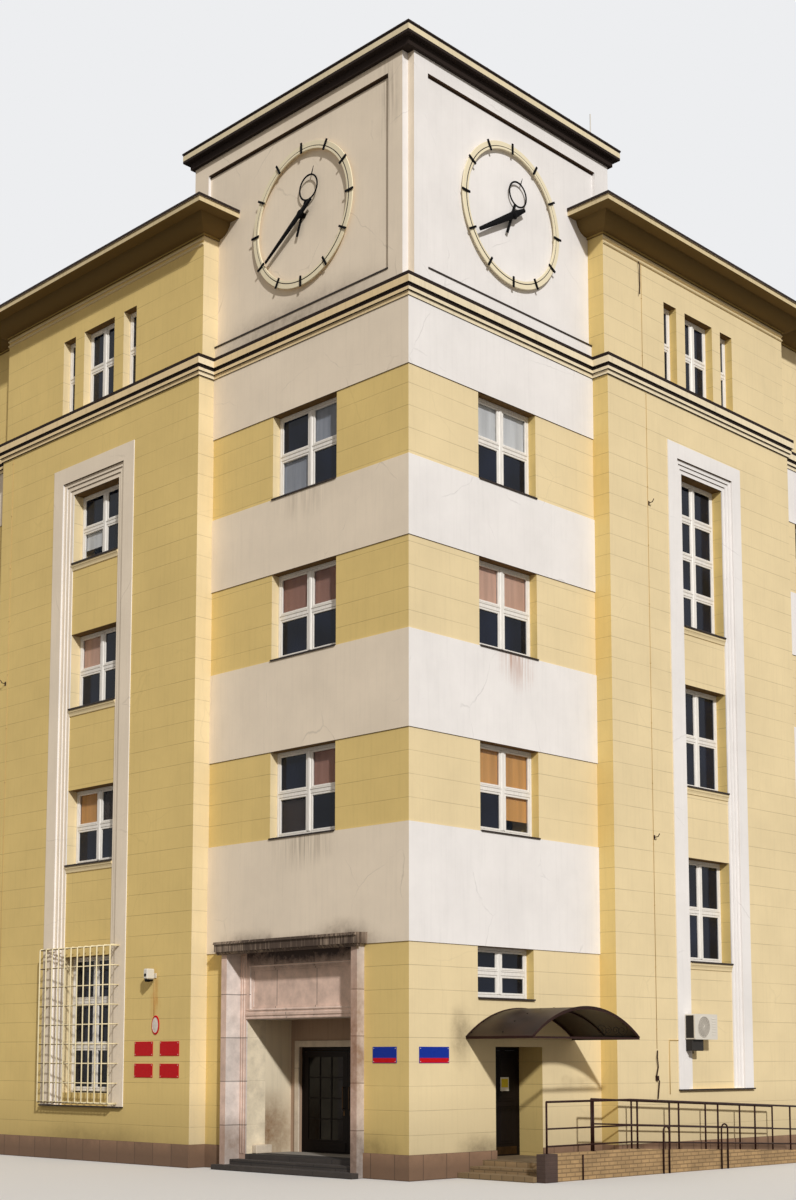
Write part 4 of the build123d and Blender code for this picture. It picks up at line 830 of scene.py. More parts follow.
def yard_windows():
    """Side, glass plane, outline, columns and rows of each yard window."""
    made = []
    for side, end in (("right", X_END), ("left", Y_END)):
        for i in range(2):
            for row in FAR_ROWS + [ATTIC_ROW]:
                window = around(end - 0.3 - 1.9 - i * 3.6, 1.5, *row)
                made.append((side, -(WING_DEPTH - 0.18 - FRAME_DEPTH), window, 2, 2))
    return made


# What hangs behind the panes: side, window, column, row and share drawn down
HUNG = {
    "white": [("right", TOWER_RIGHT[2], 0, 1, 1.0), ("right", TOWER_RIGHT[2], 1, 1, 1.0),
              ("left", STRIP_LEFT[0], 1, 0, 0.6)],
    "pink": [("right", TOWER_RIGHT[1], 0, 1, 1.0), ("right", TOWER_RIGHT[1], 1, 1, 1.0),
             ("left", STRIP_LEFT[1], 1, 1, 1.0)],
    "brown": [("left", TOWER_LEFT[1], 0, 1, 1.0), ("left", TOWER_LEFT[1], 1, 1, 1.0),
              ("left", TOWER_LEFT[0], 0, 1, 1.0)],
    "orange": [("right", TOWER_RIGHT[0], 0, 1, 1.0), ("right", TOWER_RIGHT[0], 1, 1, 1.0),
               ("right", TOWER_RIGHT[0], 1, 0, 0.68), ("left", STRIP_LEFT[2], 1, 1, 1.0)],
    "umber": [("left", TOWER_LEFT[0], 1, 0, 1.0), ("left", STRIP_LEFT[2], 0, 1, 1.0)],
    "grey": [("left", TOWER_LEFT[2], 0, 1, 1.0), ("left", TOWER_LEFT[2], 1, 0, 1.0)],
}
CLOTHS = {"white": "#F4F6F7", "pink": "#F2C4AA", "brown": "#B98A78", "orange": "#F2B468", "umber": "#41362F",
          "grey": "#B4BAC6"}


def cells(window, columns, rows):
    """Column, row, corner and size of each opening between the mullions and transoms of a window."""
    s = bpy.context.scene.building_joinery
    u0, u1, z0, z1 = window
    fw, mw = s.frame_width, s.mullion_width
    cell_w = (u1 - u0 - 2 * fw - (columns - 1) * mw) / columns
    cell_h = (z1 - z0 - 2 * fw - FRAME_DRIP - (rows - 1) * mw) / rows
    return [(i, j, u0 + fw + i * (cell_w + mw), z0 + FRAME_DRIP + fw + j * (cell_h + mw), cell_w, cell_h)
            for i in range(columns) for j in range(rows)]


def wooden_frame(bm, side, back, face, outline, width, lift=0.0):
    """Two stiles and two rails between them, the lower rail lifted a little for the drip."""
    u0, u1, z0, z1 = outline
    block(bm, side, u0, u0 + width, back, face, z0, z1, FRAME_EASE)
    block(bm, side, u1 - width, u1, back, face, z0, z1, FRAME_EASE)
    block(bm, side, u0 + width, u1 - width, back, face, z1 - width, z1, FRAME_EASE)
    block(bm, side, u0 + width, u1 - width, back, face, z0 + lift, z0 + lift + width, FRAME_EASE)


def joinery(bm, side, out, window, columns, rows):
    """One wooden window: fixed frame, mullion with a proud eased face, transoms with a drip, and sashes."""
    s = bpy.context.scene.building_joinery
    fw, mw, play = s.frame_width, s.mullion_width, 0.004
    face, back = out, out - FRAME_DEPTH
    foot, head = window[2] + FRAME_DRIP + fw, window[3] - fw
    wooden_frame(bm, side, back, face, window, fw, FRAME_DRIP)
    for i, j, u, z, cell_w, cell_h in cells(window, columns, rows):
        if i and not j:
            block(bm, side, u - mw, u, back, face + 0.012, foot, head, 0.022)
        if j:
            block(bm, side, u, u + cell_w, back, face, z - mw, z, FRAME_EASE)
            block(bm, side, u, u + cell_w, face - 0.002, face + 0.012, z - 0.030, z - 0.006, 0.005)
        sash = (u + play, u + cell_w - play, z + play, z + cell_h - play)
        wooden_frame(bm, side, back + 0.008, face - 0.007, sash, s.sash_width - play)


class BUILDING_OT_finishes(bpy.types.Operator):
    """Gives every carried-over piece its own finish"""

    bl_idname = "building.finishes"
    bl_label = "Wall Finishes"

    def execute(self, context):
        s = context.scene.building_finish
        make_render(tuple(s.yellow), tuple(s.white), tuple(s.metal))
        make_stone(tuple(s.stone), tuple(s.plinth))
        make_fittings(tuple(s.metal), tuple(s.joinery))
        for finish, names in NODE_FINISH.items():
            for name in names:
                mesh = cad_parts[name].data
                mesh.materials.clear()
                mesh.materials.append(MATERIALS[finish])
        return {"FINISHED"}


class BUILDING_OT_street_windows(bpy.types.Operator):
    """Builds the wooden windows of the street fronts"""

    bl_idname = "building.street_windows"
    bl_label = "Street Windows"

    def execute(self, context):
        bm = bmesh.new()
        for window in street_windows():
            joinery(bm, *window)
        made = piece("street_window_joinery", bm, "joinery")
        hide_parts("window_frames_street")
        return {"FINISHED"}


class BUILDING_OT_yard_windows(bpy.types.Operator):
    """Builds the wooden windows of the yard walls"""

    bl_idname = "building.yard_windows"
    bl_label = "Yard Windows"

    def execute(self, context):
        bm = bmesh.new()
        for window in yard_windows():
            joinery(bm, *window)
        made = piece("yard_window_joinery", bm, "joinery")
        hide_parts("window_frames_yard")
        return {"FINISHED"}


class BUILDING_OT_panes(bpy.types.Operator):
    """Glazes every window and hangs the roller blinds behind the panes"""

    bl_idname = "building.panes"
    bl_label = "Panes and Blinds"

    def execute(self, context):
        inset = context.scene.building_joinery.sash_width - 0.006
        drawn = {(side, window, i, j): (cloth, share) for cloth, places in HUNG.items()
                 for side, window, i, j, share in places}
        glass, cloths = bmesh.new(), {name: bmesh.new() for name in CLOTHS}
        for side, out, window, columns, rows in street_windows() + yard_windows():
            for i, j, u, z, w, h in cells(window, columns, rows):
                a, b = u + inset, u + w - inset
                low, high = z + inset, z + h - inset
                first = len(glass.faces)
                block(glass, side, a, b, out - 0.040, out - 0.034, low, high)
                if (side, window, i, j) not in drawn:
                    continue
                cloth, share = drawn[side, window, i, j]
                glass.faces.ensure_lookup_table()
                for face in glass.faces[first:]:
                    face.material_index = 1
                # The cloth and the bar in its hem
                bm, foot = cloths[cloth], high - (high - low) * share
                block(bm, side, a - 0.01, b + 0.01, out - 0.075, out - 0.072, foot, high + 0.02)
                block(bm, side, a - 0.01, b + 0.01, out - 0.080, out - 0.068,
                      foot - 0.01, foot + 0.012, 0.003)
        made = piece("window_panes", glass, ["glass", "clear_glass"])
        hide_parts("window_glass")
        for name, bm in cloths.items():
            fabric = blind_fabric(f"cotton_blind_woven_{name}", linear(CLOTHS[name]))
            piece(f"roller_blinds_{name}", bm, fabric)
        return {"FINISHED"}


class BUILDING_OT_clock_rings(bpy.types.Operator):
    """Turns the enamelled hour rings with their raised inner edge and their stand-off rods"""

    bl_idname = "building.clock_rings"
    bl_label = "Clock Rings"

    def execute(self, context):
        bm = bmesh.new()
        rods, rod_reach = 6, 1.43
        # Radius and height over the dial: bright inner edge, groove painted dark as its shade, broad outer
        # face
        profile = [(1.346, 0.061), (1.346, 0.082), (1.351, 0.089), (1.394, 0.089), (1.399, 0.083),
                   (1.407, 0.077), (1.413, 0.083), (1.505, 0.083), (1.512, 0.077), (1.512, 0.061),
                   (1.346, 0.061)]
        for side in ("right", "left"):
            ring = [(r, CLOCK_OUT + off) for r, off in profile]
            turned(bm, side, CLOCK_U, CLOCK_Z, ring, 144, second=(3, 4, 5))
            for k in range(rods):
                angle = math.radians(15 + 360 / rods * k)
                u, z = CLOCK_U + rod_reach * math.cos(angle), CLOCK_Z + rod_reach * math.sin(angle)
                bar(bm, side, [(u, CLOCK_OUT, z), (u, CLOCK_OUT + 0.062, z)], 0.010)
        made = piece("clock_ring_relief", bm, ["clock_cream", "dark_metal"])
        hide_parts("clock_rings")
        return {"FINISHED"}


# Hands: angle at rest, reach behind and ahead of the axis, half width there and over it, height of the back
HANDS = {"minute": (237, -0.40, 1.27, 0.040, 0.078, 0.132), "hour": (20, -0.40, 0.27, 0.020, 0.024, 0.0723)}


def hand_ridge(bm, side, angle, behind, ahead, narrow, wide, off):
    """Long low ridge laid on a clock hand, widest over the axis and 16 mm high along its middle."""
    turn = 1 if side == "right" else -1
    sine, cosine = math.sin(math.radians(angle)), math.cos(math.radians(angle))
    base = CLOCK_OUT + off - 0.001
    outlines = []
    for reach, half in ((behind, narrow), (0.0, wide), (ahead, narrow)):
        outlines.append([at(side, CLOCK_U + turn * sine * reach + cosine * shift, base + rise,
                            CLOCK_Z + cosine * reach - turn * sine * shift)
                         for shift, rise in ((-half, 0.0), (0.0, 0.016), (half, 0.0))])
    loft(bm, outlines)


class BUILDING_OT_clock_hands(bpy.types.Operator):
    """Adds the ridges and hub caps of the clock hands"""

    bl_idname = "building.clock_hands"
    bl_label = "Clock Hands"

    def execute(self, context):
        cap = [(0.078, 0.131), (0.078, 0.142), (0.062, 0.158), (0.030, 0.166), (0.0, 0.168)]
        for side in ("right", "left"):
            for kind, shape in HANDS.items():
                bm = bmesh.new()
                hand_ridge(bm, side, *shape)
                if kind == "minute":
                    turned(bm, side, CLOCK_U, CLOCK_Z, [(radius, CLOCK_OUT + off) for radius, off in cap], 32)
                piece(f"{kind}_hand_ridge_{side}", bm, "black_iron", body=f"{side}_{kind}_hand")
        return {"FINISHED"}


class BUILDING_OT_string_and_eaves(bpy.types.Operator):
    """Runs thin mouldings under the eaves and the strip windows, and lays flashings and lines of painted
    shadow
    """

    bl_idname = "building.string_and_eaves"
    bl_label = "Thin Mouldings"

    def execute(self, context):
        bm = bmesh.new()
        roll = [(0.0, 0.0), (0.035, -0.008), (0.042, -0.025), (0.030, -0.042), (0.0, -0.05)]
        for side, u0, u1 in (("right", X_BAY, X_FAR), ("left", Y_BAY, Y_FAR)):
            for drop in (0.05, 0.16):
                run(bm, side, u0, u1, [(ATTIC_OUT + out, EAVES - drop + z) for out, z in roll])
        sill = [(0.0, 0.0), (0.045, 0.0), (0.045, -0.05), (0.034, -0.062), (0.022, -0.10), (0.022, -0.14),
                (0.0, -0.15)]
        for side, (u0, u1, z0, _) in STRIPS:
            run(bm, side, u0, u1, [(FIELD_OUT + out, z0 - 0.012 + z) for out, z in sill])
        piece("thin_wall_mouldings", bm, "plain_yellow")
        # Sheets on the strip sills and at the foot of the head panels
        bm = bmesh.new()
        for side, (u0, u1, z0, _) in STRIPS:
            block(bm, side, u0 + 0.003, u1 - 0.003, FIELD_OUT - STRIP_REVEAL - 0.01, FIELD_OUT + 0.070,
                  z0 - 0.014, z0 + 0.022, 0.003)
        inner = CLOCK_OUT + 0.002
        for side, far, low, high in (("right", 5.82, 17.376, 17.420), ("left", 6.05, 17.368, 17.430)):
            run(bm, side, PANEL_START, far,
                [(inner, low + 0.02), (0.010, low), (0.018, low), (0.018, low + 0.03), (inner, high)])
        piece("sheet_flashings", bm, "dark_metal")
        # Painted shadow, with dirt, under the heads of the panels, and up one side of the left one
        bm = bmesh.new()
        shade_foot, shade_top = 21.35, 21.388
        for side, end in PANEL_END.items():
            block(bm, side, PANEL_START + 0.002, end, -0.069, -0.062, shade_foot, shade_top)
        block(bm, "left", PANEL_START + 0.001, PANEL_START + 0.062, -0.069, -0.062, 17.42, shade_foot)
        piece("head_panel_painted_shade_lines", bm, "soot_line")
        return {"FINISHED"}


class BUILDING_OT_portal(bpy.types.Operator):
    """Builds the portal's stained hood mouldings, stone beads, open joints and doorway trim"""

    bl_idname = "building.portal"
    bl_label = "Portal"

    def execute(self, context):
        side, face = "left", BEAM_OUT
        # Hood: a stepped top and a drip below
        bm = bmesh.new()
        outer0, outer1 = PORTAL_U
        z = BAND_1 + 0.150
        run(bm, side, outer0 - 0.10, outer1 + 0.10,
            [(0.0, z), (0.345, z), (0.345, z + 0.022), (0.330, z + 0.030), (0.330, z + 0.052),
             (0.0, z + 0.066)])
        z = BAND_1
        run(bm, side, outer0 - 0.08, outer1 + 0.08,
            [(0.19, z), (0.19, z - 0.055), (0.245, z - 0.055), (0.285, z - 0.012), (0.285, z)])
        piece("portal_hood_mouldings", bm, "hood_stone")
        # Two upright beads on the inner step of each jamb
        bm = bmesh.new()
        for near, sign in zip(JAMB_STEP_U, (1, -1)):
            for shift in (0.030, 0.102):
                low, high = sorted((near + sign * shift, near + sign * (shift + 0.040)))
                upright(bm, side, PORCH_FLOOR + 0.010, BAND_1 - 0.06,
                        [(low, face), (low, face + 0.012), (low + 0.012, face + 0.020),
                         (high - 0.012, face + 0.020), (high, face + 0.012), (high, face)])
        # Level beads under the name panel, and the bead round it
        porch0, porch1 = PORCH_U
        for low, high, rise in ((2.985, 3.025, 0.014), (3.05, 3.11, 0.022), (3.155, 3.185, 0.010)):
            profile = bead(low, high, face, rise, 0.006)
            run(bm, side, porch0 + 0.01, porch1 - 0.01, [(out, z) for z, out in profile])
        panel0, panel1, foot, head, width = porch0 + 0.10, porch1 - 0.10, 3.185, 4.03, 0.035
        for low in (foot - width, head):
            profile = bead(low, low + width, face, 0.020, 0.008)
            run(bm, side, panel0, panel1, [(out, z) for z, out in profile])
        for low in (panel0, panel1 - width):
            upright(bm, side, foot, head, bead(low, low + width, face, 0.020, 0.008))
        piece("portal_mouldings", bm, "portal_stone")
        # Joints of the name panel, left bare
        bm = bmesh.new()
        for u in (2.55, 3.72):
            block(bm, side, u, u + 0.010, -0.2605, -0.2585, 3.23, 3.95)
        piece("portal_open_joints", bm, "soot_line")
        # Trim round the doorway and the small base block of the porch
        bm = bmesh.new()
        door0, door1 = DOORWAY_U
        back, front, trim = PORCH_BACK, PORCH_BACK + 0.035, 0.13
        for low in (door0 - trim, door1):
            block(bm, side, low, low + trim, back, front, PORCH_FLOOR, DOORWAY_TOP + trim, 0.006)
        block(bm, side, door0, door1, back, front, DOORWAY_TOP, DOORWAY_TOP + trim, 0.006)
        block(bm, side, door1 + trim, porch1, -0.78, -0.36, PORCH_FLOOR, PORCH_FLOOR + 0.17, 0.012)
        piece("doorway_trim", bm, "pale_stone")
        return {"FINISHED"}


class BUILDING_OT_main_doors(bpy.types.Operator):
    """Glazes the main door leaves and gives them their bars, kick boards and pull handles"""

    bl_idname = "building.main_doors"
    bl_label = "Main Doors"

    def execute(self, context):
        side, face, stile = "left", -1.46, 0.13
        foot, head = 0.308, 2.359
        low_z, high_z = foot + 2 * stile, head - stile
        for body, low, high, pull in (("main_door_right", 1.861, 3.137, 3.05),
                                      ("main_door_left", 3.143, 4.419, 3.23)):
            a, b = low + stile, high - stile
            bm = bmesh.new()
            for pane in (face - 0.019, face - 0.037):
                block(bm, side, a + 0.002, b - 0.002, pane, pane + 0.006, low_z + 0.002, high_z - 0.002)
            piece(f"{body}_glass", bm, "door_glass", body=body)
            # Bars on both faces, and the kick board
            bm = bmesh.new()
            for front in (face - 0.013, face - 0.050):
                for k in (1, 2):
                    u = a + (b - a) * k / 3
                    block(bm, side, u - 0.015, u + 0.015, front, front + 0.013, low_z + 0.004, high_z - 0.004,
                          0.003)
                for k in (1, 2, 3):
                    z = low_z + (high_z - low_z) * k / 4
                    block(bm, side, a + 0.004, b - 0.004, front + 0.001, front + 0.011, z - 0.014, z + 0.014,
                          0.003)
            block(bm, side, low + 0.03, high - 0.03, face - 0.001, face + 0.012, foot + 0.03, foot + 0.21,
                  0.005)
            piece(f"{body}_glazing_bars", bm, "door_wood", body=body)
            # Pull handle over its lock plate
            bm = bmesh.new()
            bar(bm, side, [(pull, face - 0.002, 1.20), (pull, face + 0.045, 1.20), (pull, face + 0.045, 1.62),
                           (pull, face - 0.002, 1.62)], 0.011, 12)
            block(bm, side, pull - 0.022, pull + 0.022, face - 0.001, face + 0.006, 1.06, 1.16, 0.002)
            piece(f"{body}_pull_handle", bm, "worn_brass", body=body)
        return {"FINISHED"}


class BUILDING_OT_side_door(bpy.types.Operator):
    """Panels the side door and fits its lever, kick plate and bare notice plate"""

    bl_idname = "building.side_door"
    bl_label = "Side Door"

    def execute(self, context):
        side, body, face = "right", "side_door", -0.60
        low, high, foot, head = 2.441, 3.689, 0.308, 2.349
        middle = (low + high) / 2
        bm = bmesh.new()
        for a, b in ((low + 0.10, middle - 0.05), (middle + 0.05, high - 0.10)):
            for c, d in ((foot + 0.22, foot + 0.95), (foot + 1.05, head - 0.10)):
                block(bm, side, a, b, face - 0.002, face + 0.012, c, d, 0.010)
                block(bm, side, a + 0.05, b - 0.05, face + 0.010, face + 0.018, c + 0.05, d - 0.05, 0.006)
        piece("side_door_panels", bm, "door_wood", body=body)
        bm = bmesh.new()
        block(bm, side, low + 0.03, low + 0.075, face - 0.001, face + 0.007, 1.22, 1.44, 0.002)
        bar(bm, side, [(low + 0.052, face + 0.005, 1.37), (low + 0.052, face + 0.05, 1.37),
                       (low + 0.165, face + 0.05, 1.37)], 0.009, 10)
        block(bm, side, low + 0.02, high - 0.02, face - 0.001, face + 0.003, foot + 0.02, foot + 0.17, 0.001)
        piece("side_door_lever_and_kick_plate", bm, "worn_brass", body=body)
        bm = bmesh.new()
        block(bm, side, 3.17, 3.42, face + 0.016, face + 0.021, 1.56, 1.83, 0.001)
        piece("bare_notice_sheet", bm, "notice_white", body=body)
        bm = bmesh.new()
        block(bm, side, 3.195, 3.395, face + 0.021, face + 0.0225, 1.63, 1.80)
        piece("bare_notice_field", bm, "notice_yellow", body=body)
        return {"FINISHED"}


class BUILDING_OT_basket_grille(bpy.types.Operator):
    """Forges the basket grille: bars bent back to the wall and level bars tied across them"""

    bl_idname = "building.basket_grille"
    bl_label = "Basket Grille"

    def execute(self, context):
        side, uprights, levels = "left", 12, 9
        bm = bmesh.new()
        u0, u1, z0, z1 = BAY_LEFT_U - 1.34, BAY_LEFT_U + 1.34, 1.22, 4.64
        front, wall = BAY_OUT + 0.249, BAY_OUT + 0.004
        low, high = z0 + 0.012, z1 - 0.012
        for k in range(uprights):
            u = u0 + 0.014 + (u1 - u0 - 0.028) * k / (uprights - 1)
            bar(bm, side, [(u, wall, low), (u, front - 0.03, low), (u, front, low + 0.03),
                           (u, front, high - 0.03), (u, front - 0.03, high), (u, wall, high)], 0.0155)
        near, far, back = u0 + 0.012, u1 - 0.012, front - 0.018
        for k in range(levels):
            z = z0 + 0.03 + (z1 - z0 - 0.06) * k / (levels - 1)
            bar(bm, side, [(near, wall, z), (near, back, z), (far, back, z), (far, wall, z)], 0.0145)
        for z in (z0 + 0.014, z1 - 0.014):
            for out in (front - 0.09, front - 0.17):
                bar(bm, side, [(near, out, z), (far, out, z)], 0.0125)
        made = piece("forged_basket_grille", bm, "ivory_iron", smooth=True)
        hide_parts("iron_grille")
        return {"FINISHED"}


class BUILDING_OT_canopy(bpy.types.Operator):
    """Fits the canopy's drip edges, screw caps and wrought scrolls"""

    bl_idname = "building.canopy"
    bl_label = "Canopy"

    def execute(self, context):
        # The sheet is an arc over the side door
        middle, spring, half, rise = 3.13, 2.60, 1.60, 0.56
        radius = (half * half + rise * rise) / (2 * rise)
        centre = spring + rise - radius
        reach = math.asin(half / radius)
        bm = bmesh.new()
        edge = radius + 0.006
        turns = [-reach + 2 * reach * k / 40 for k in range(41)]
        for y in (-1.646, -0.012):
            points = [Vector((middle + edge * math.sin(turn), y, centre + edge * math.cos(turn)))
                      for turn in turns]
            tube(bm, points, 0.012, 8)
        for x in (middle - half, middle + half):
            tube(bm, [Vector((x, -1.646, spring + 0.002)), Vector((x, -0.004, spring + 0.002))], 0.011, 8)
        piece("canopy_drip_edges", bm, "rail_steel", smooth=True)
        bm = bmesh.new()
        for y in (-1.63, -0.825, -0.04):
            for k in range(9):
                turn = reach * 0.92 * (k / 4 - 1)
                normal = Vector((math.sin(turn), 0, math.cos(turn)))
                spot = Vector((middle, y, centre)) + normal * radius
                tube(bm, [spot, spot + normal * 0.007], 0.016, 8)
        piece("canopy_screw_caps", bm, "black_iron")
        # Scrolls of 9 mm bar on the front rail, curled both ways
        bm = bmesh.new()
        base, y = 3.90, -1.612
        for shift, sign, size in ((-0.33, 1, 0.20), (0.33, -1, 0.20), (-0.12, -1, 0.13), (0.12, 1, 0.13)):
            points = []
            for k in range(33):
                turn = math.radians(-90 + 520 * k / 32) * sign
                r = size * (1 - 0.80 * k / 32)
                x, z = base + shift + r * math.cos(turn) * 0.9, 2.735 + r * math.sin(turn) * 0.62
                points.append(Vector((x, y, z)))
            tube(bm, points, 0.0045, 6)
        tube(bm, [Vector((base - 0.62, y, 2.615)), Vector((base + 0.62, y, 2.615))], 0.006, 6)
        piece("canopy_scrolls", bm, "black_iron")
        return {"FINISHED"}


# Ramp: ends of its slope along the right street
RAMP_TOP_X, RAMP_FOOT_X = 4.05, 11.4


def ramp_level(x):
    """Height of the landing and of the ramp."""
    return PORCH_FLOOR * min(1.0, (RAMP_FOOT_X - x) / (RAMP_FOOT_X - RAMP_TOP_X))


class BUILDING_OT_ramp_railing(bpy.types.Operator):
    """Bends the tube railings of the landing and the ramp, with their foot plates and hand loops"""

    bl_idname = "building.ramp_railing"
    bl_label = "Ramp Railings"

    def execute(self, context):
        bm = bmesh.new()
        hand, post = 1.12, 0.022
        for y, x0, x1, count, base, heights in ((-1.925, 1.525, 11.0, 8, 0.2, (0.33, 0.64, hand)),
                                                (-0.64, 4.45, 11.0, 6, 0.0, (0.64, hand))):
            for height in heights:
                line = [Vector((x0 + post, y, ramp_level(x0) + height))]
                if x0 < RAMP_TOP_X:
                    line.append(Vector((RAMP_TOP_X, y, PORCH_FLOOR + height)))
                line.append(Vector((x1 - post, y, ramp_level(x1) + height)))
                tube(bm, line, 0.021 if height == hand else 0.016)
            for k in range(count):
                x = x0 + post + k * (x1 - x0 - 2 * post) / (count - 1)
                foot = Vector((x, y, ramp_level(x) + base))
                tube(bm, [foot, Vector((x, y, ramp_level(x) + hand))], 0.019)
                tube(bm, [foot, foot + Vector((0, 0, 0.008))], 0.045, 16)
        made = piece("tube_railings", bm, "rail_steel", smooth=True)
        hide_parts("ramp_railing")
        # Loops on the street side of the kerb
        bm = bmesh.new()
        y = -2.028
        for x0, x1, top in ((4.93, 5.12, 0.80), (6.90, 7.12, 0.78)):
            middle, r = (x0 + x1) / 2, (x1 - x0) / 2
            points = [Vector((x0, y, 0.0)), Vector((x0, y, top))]
            for k in range(1, 9):
                angle = math.pi - math.pi * k / 9
                points.append(Vector((middle + r * math.cos(angle), y, top + r * math.sin(angle))))
            points += [Vector((x1, y, top)), Vector((x1, y, 0.0))]
            tube(bm, points, 0.017, 10)
        tube(bm, [Vector((2.45, -2.030, 0.0)), Vector((2.45, -2.030, 0.46))], 0.014, 10)
        piece("kerb_hand_loops", bm, "rail_steel", smooth=True)
        return {"FINISHED"}


# Plates: ends and heights of the street plates by side, and of the red plates on the left bay
STREET_PLATES = {"left": (0.31, 0.93, 2.11, 2.41), "right": (0.26, 1.06, 2.11, 2.41)}
RED_PLATES = ((7.04, 7.67, 2.25, 2.55), (6.16, 6.80, 2.25, 2.55), (7.04, 7.67, 1.80, 2.09),
              (6.16, 6.80, 1.80, 2.09))


def screws(bm, side, plate, inset, face, radius):
    """Screw head in each corner of a plate, 6 mm proud of it."""
    u0, u1, z0, z1 = plate
    for u in (u0 + inset, u1 - inset):
        for z in (z0 + inset, z1 - inset):
            turned(bm, side, u, z, [(radius, face - 0.001), (radius, face + 0.004), (0.0, face + 0.006)], 10)


class BUILDING_OT_plates(bpy.types.Operator):
    """Screws the bare enamelled plates to both fronts"""

    bl_idname = "building.plates"
    bl_label = "Bare Plates"

    def execute(self, context):
        blue, red = bmesh.new(), bmesh.new()
        for side, (u0, u1, z0, z1) in STREET_PLATES.items():
            block(blue, side, u0, u1, 0.0, 0.010, z0, z1, 0.003)
            block(red, side, u0 + 0.012, u1 - 0.012, 0.009, 0.0115, z0 + 0.008, z0 + 0.095, 0.0008)
        for u0, u1, z0, z1 in RED_PLATES:
            block(red, "left", u0, u1, BAY_OUT, BAY_OUT + 0.012, z0, z1, 0.004)
        piece("street_plates_blue", blue, "blue_enamel")
        piece("wall_plates_red", red, "red_enamel")
        # Oval plate with a raised rim in red
        bm = bmesh.new()
        half_width, half_height = 0.125, 0.20
        profile = [(1.0, 0.0), (1.0, 0.014), (0.93, 0.020), (0.80, 0.018), (0.78, 0.014), (0.4, 0.020),
                   (0.0, 0.021)]
        turned(bm, "left", 6.96, 2.89, [(half_width * scale, BAY_OUT + out) for scale, out in profile], 40,
               second=(0, 1, 2), stretch=half_height / half_width)
        piece("bare_oval_plate", bm, ["pale_enamel", "red_enamel"])
        bm = bmesh.new()
        for side, plate in STREET_PLATES.items():
            screws(bm, side, plate, 0.03, 0.010, 0.008)
        for plate in RED_PLATES:
            screws(bm, "left", plate, 0.03, BAY_OUT + 0.012, 0.009)
        piece("plate_screws", bm, "white_metal")
        return {"FINISHED"}


class BUILDING_OT_camera_and_cables(bpy.types.Operator):
    """Fits the camera housing, its lens and lamp, the clipped cable runs, hooks and boxes"""

    bl_idname = "building.camera_and_cables"
    bl_label = "Camera and Cables"

    def execute(self, context):
        out = BAY_OUT
        # Camera on its arm
        bm = bmesh.new()
        middle = 7.015
        block(bm, "left", middle - 0.060, middle + 0.060, out, out + 0.02, 3.87, 3.97, 0.004)
        bar(bm, "left", [(middle, out + 0.01, 3.90), (middle, out + 0.09, 3.90), (middle, out + 0.12, 3.925)],
            0.014, 10)
        block(bm, "left", middle - 0.070, middle + 0.070, out + 0.055, out + 0.255, 3.84, 4.06, 0.022)
        made = piece("camera_body", bm, "white_metal")
        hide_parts("camera_housing")
        bm = bmesh.new()
        turned(bm, "left", middle, 3.925,
               [(0.036, out + 0.250), (0.036, out + 0.258), (0.0, out + 0.2585)], 24)
        turned(bm, "left", middle, 3.83, [(0.0, out + 0.06), (0.030, out + 0.07), (0.045, out + 0.15),
                                          (0.045, out + 0.235), (0.0, out + 0.24)], 24)
        piece("camera_lens_and_lamp", bm, "black_iron")
        # Cables with a clip every 1.3 m
        bm = bmesh.new()
        for side, u, z0, z1, wall in (("right", 6.98, 2.40, STRING - 0.01, BAY_OUT),
                                      ("right", 6.98, ATTIC + 0.01, 19.6, ATTIC_OUT),
                                      ("left", 12.95, 0.50, STRING - 0.01, BAY_OUT)):
            bar(bm, side, [(u, wall + 0.009, z0), (u, wall + 0.009, z1)], 0.006)
            z = z0 + 0.4
            while z < z1:
                block(bm, side, u - 0.013, u + 0.013, wall, wall + 0.018, z, z + 0.016, 0.002)
                z += 1.3
        bar(bm, "right", [(7.42, out + 0.010, 1.45), (7.42, out + 0.010, 2.58), (7.97, out + 0.010, 2.58)],
            0.009)
        bar(bm, "left", [(7.02, out + 0.008, 3.09), (7.02, out + 0.008, 3.87)], 0.005)
        piece("cable_runs", bm, "cable_sheath", smooth=True)
        # Bent iron under the eaves, wall hooks on their plates, and the dark iron over a small box
        bm = bmesh.new()
        bar(bm, "right", [(6.86, ATTIC_OUT + 0.02, 19.62), (6.86, ATTIC_OUT + 0.06, 19.50),
                          (6.90, ATTIC_OUT + 0.03, 19.05), (6.86, ATTIC_OUT + 0.05, 18.85)], 0.011)
        for side, u, z in (("right", 7.02, 6.85), ("right", 7.02, 14.15), ("left", 13.05, 11.1)):
            bar(bm, side, [(u, out, z), (u, out + 0.10, z + 0.01), (u, out + 0.14, z + 0.07)], 0.010)
            block(bm, side, u - 0.03, u + 0.03, out, out + 0.008, z - 0.05, z + 0.05, 0.003)
        bar(bm, "right", [(6.98, out + 0.02, 2.36), (6.93, out + 0.05, 2.22), (6.97, out + 0.04, 2.02),
                          (6.90, out + 0.05, 1.84), (6.99, out + 0.05, 1.72), (6.96, out + 0.03, 1.36)],
            0.013)
        block(bm, "right", 6.91, 6.99, out, out + 0.05, 1.74, 1.84, 0.008)
        piece("wall_hooks_and_boxes", bm, "rail_steel")
        return {"FINISHED"}


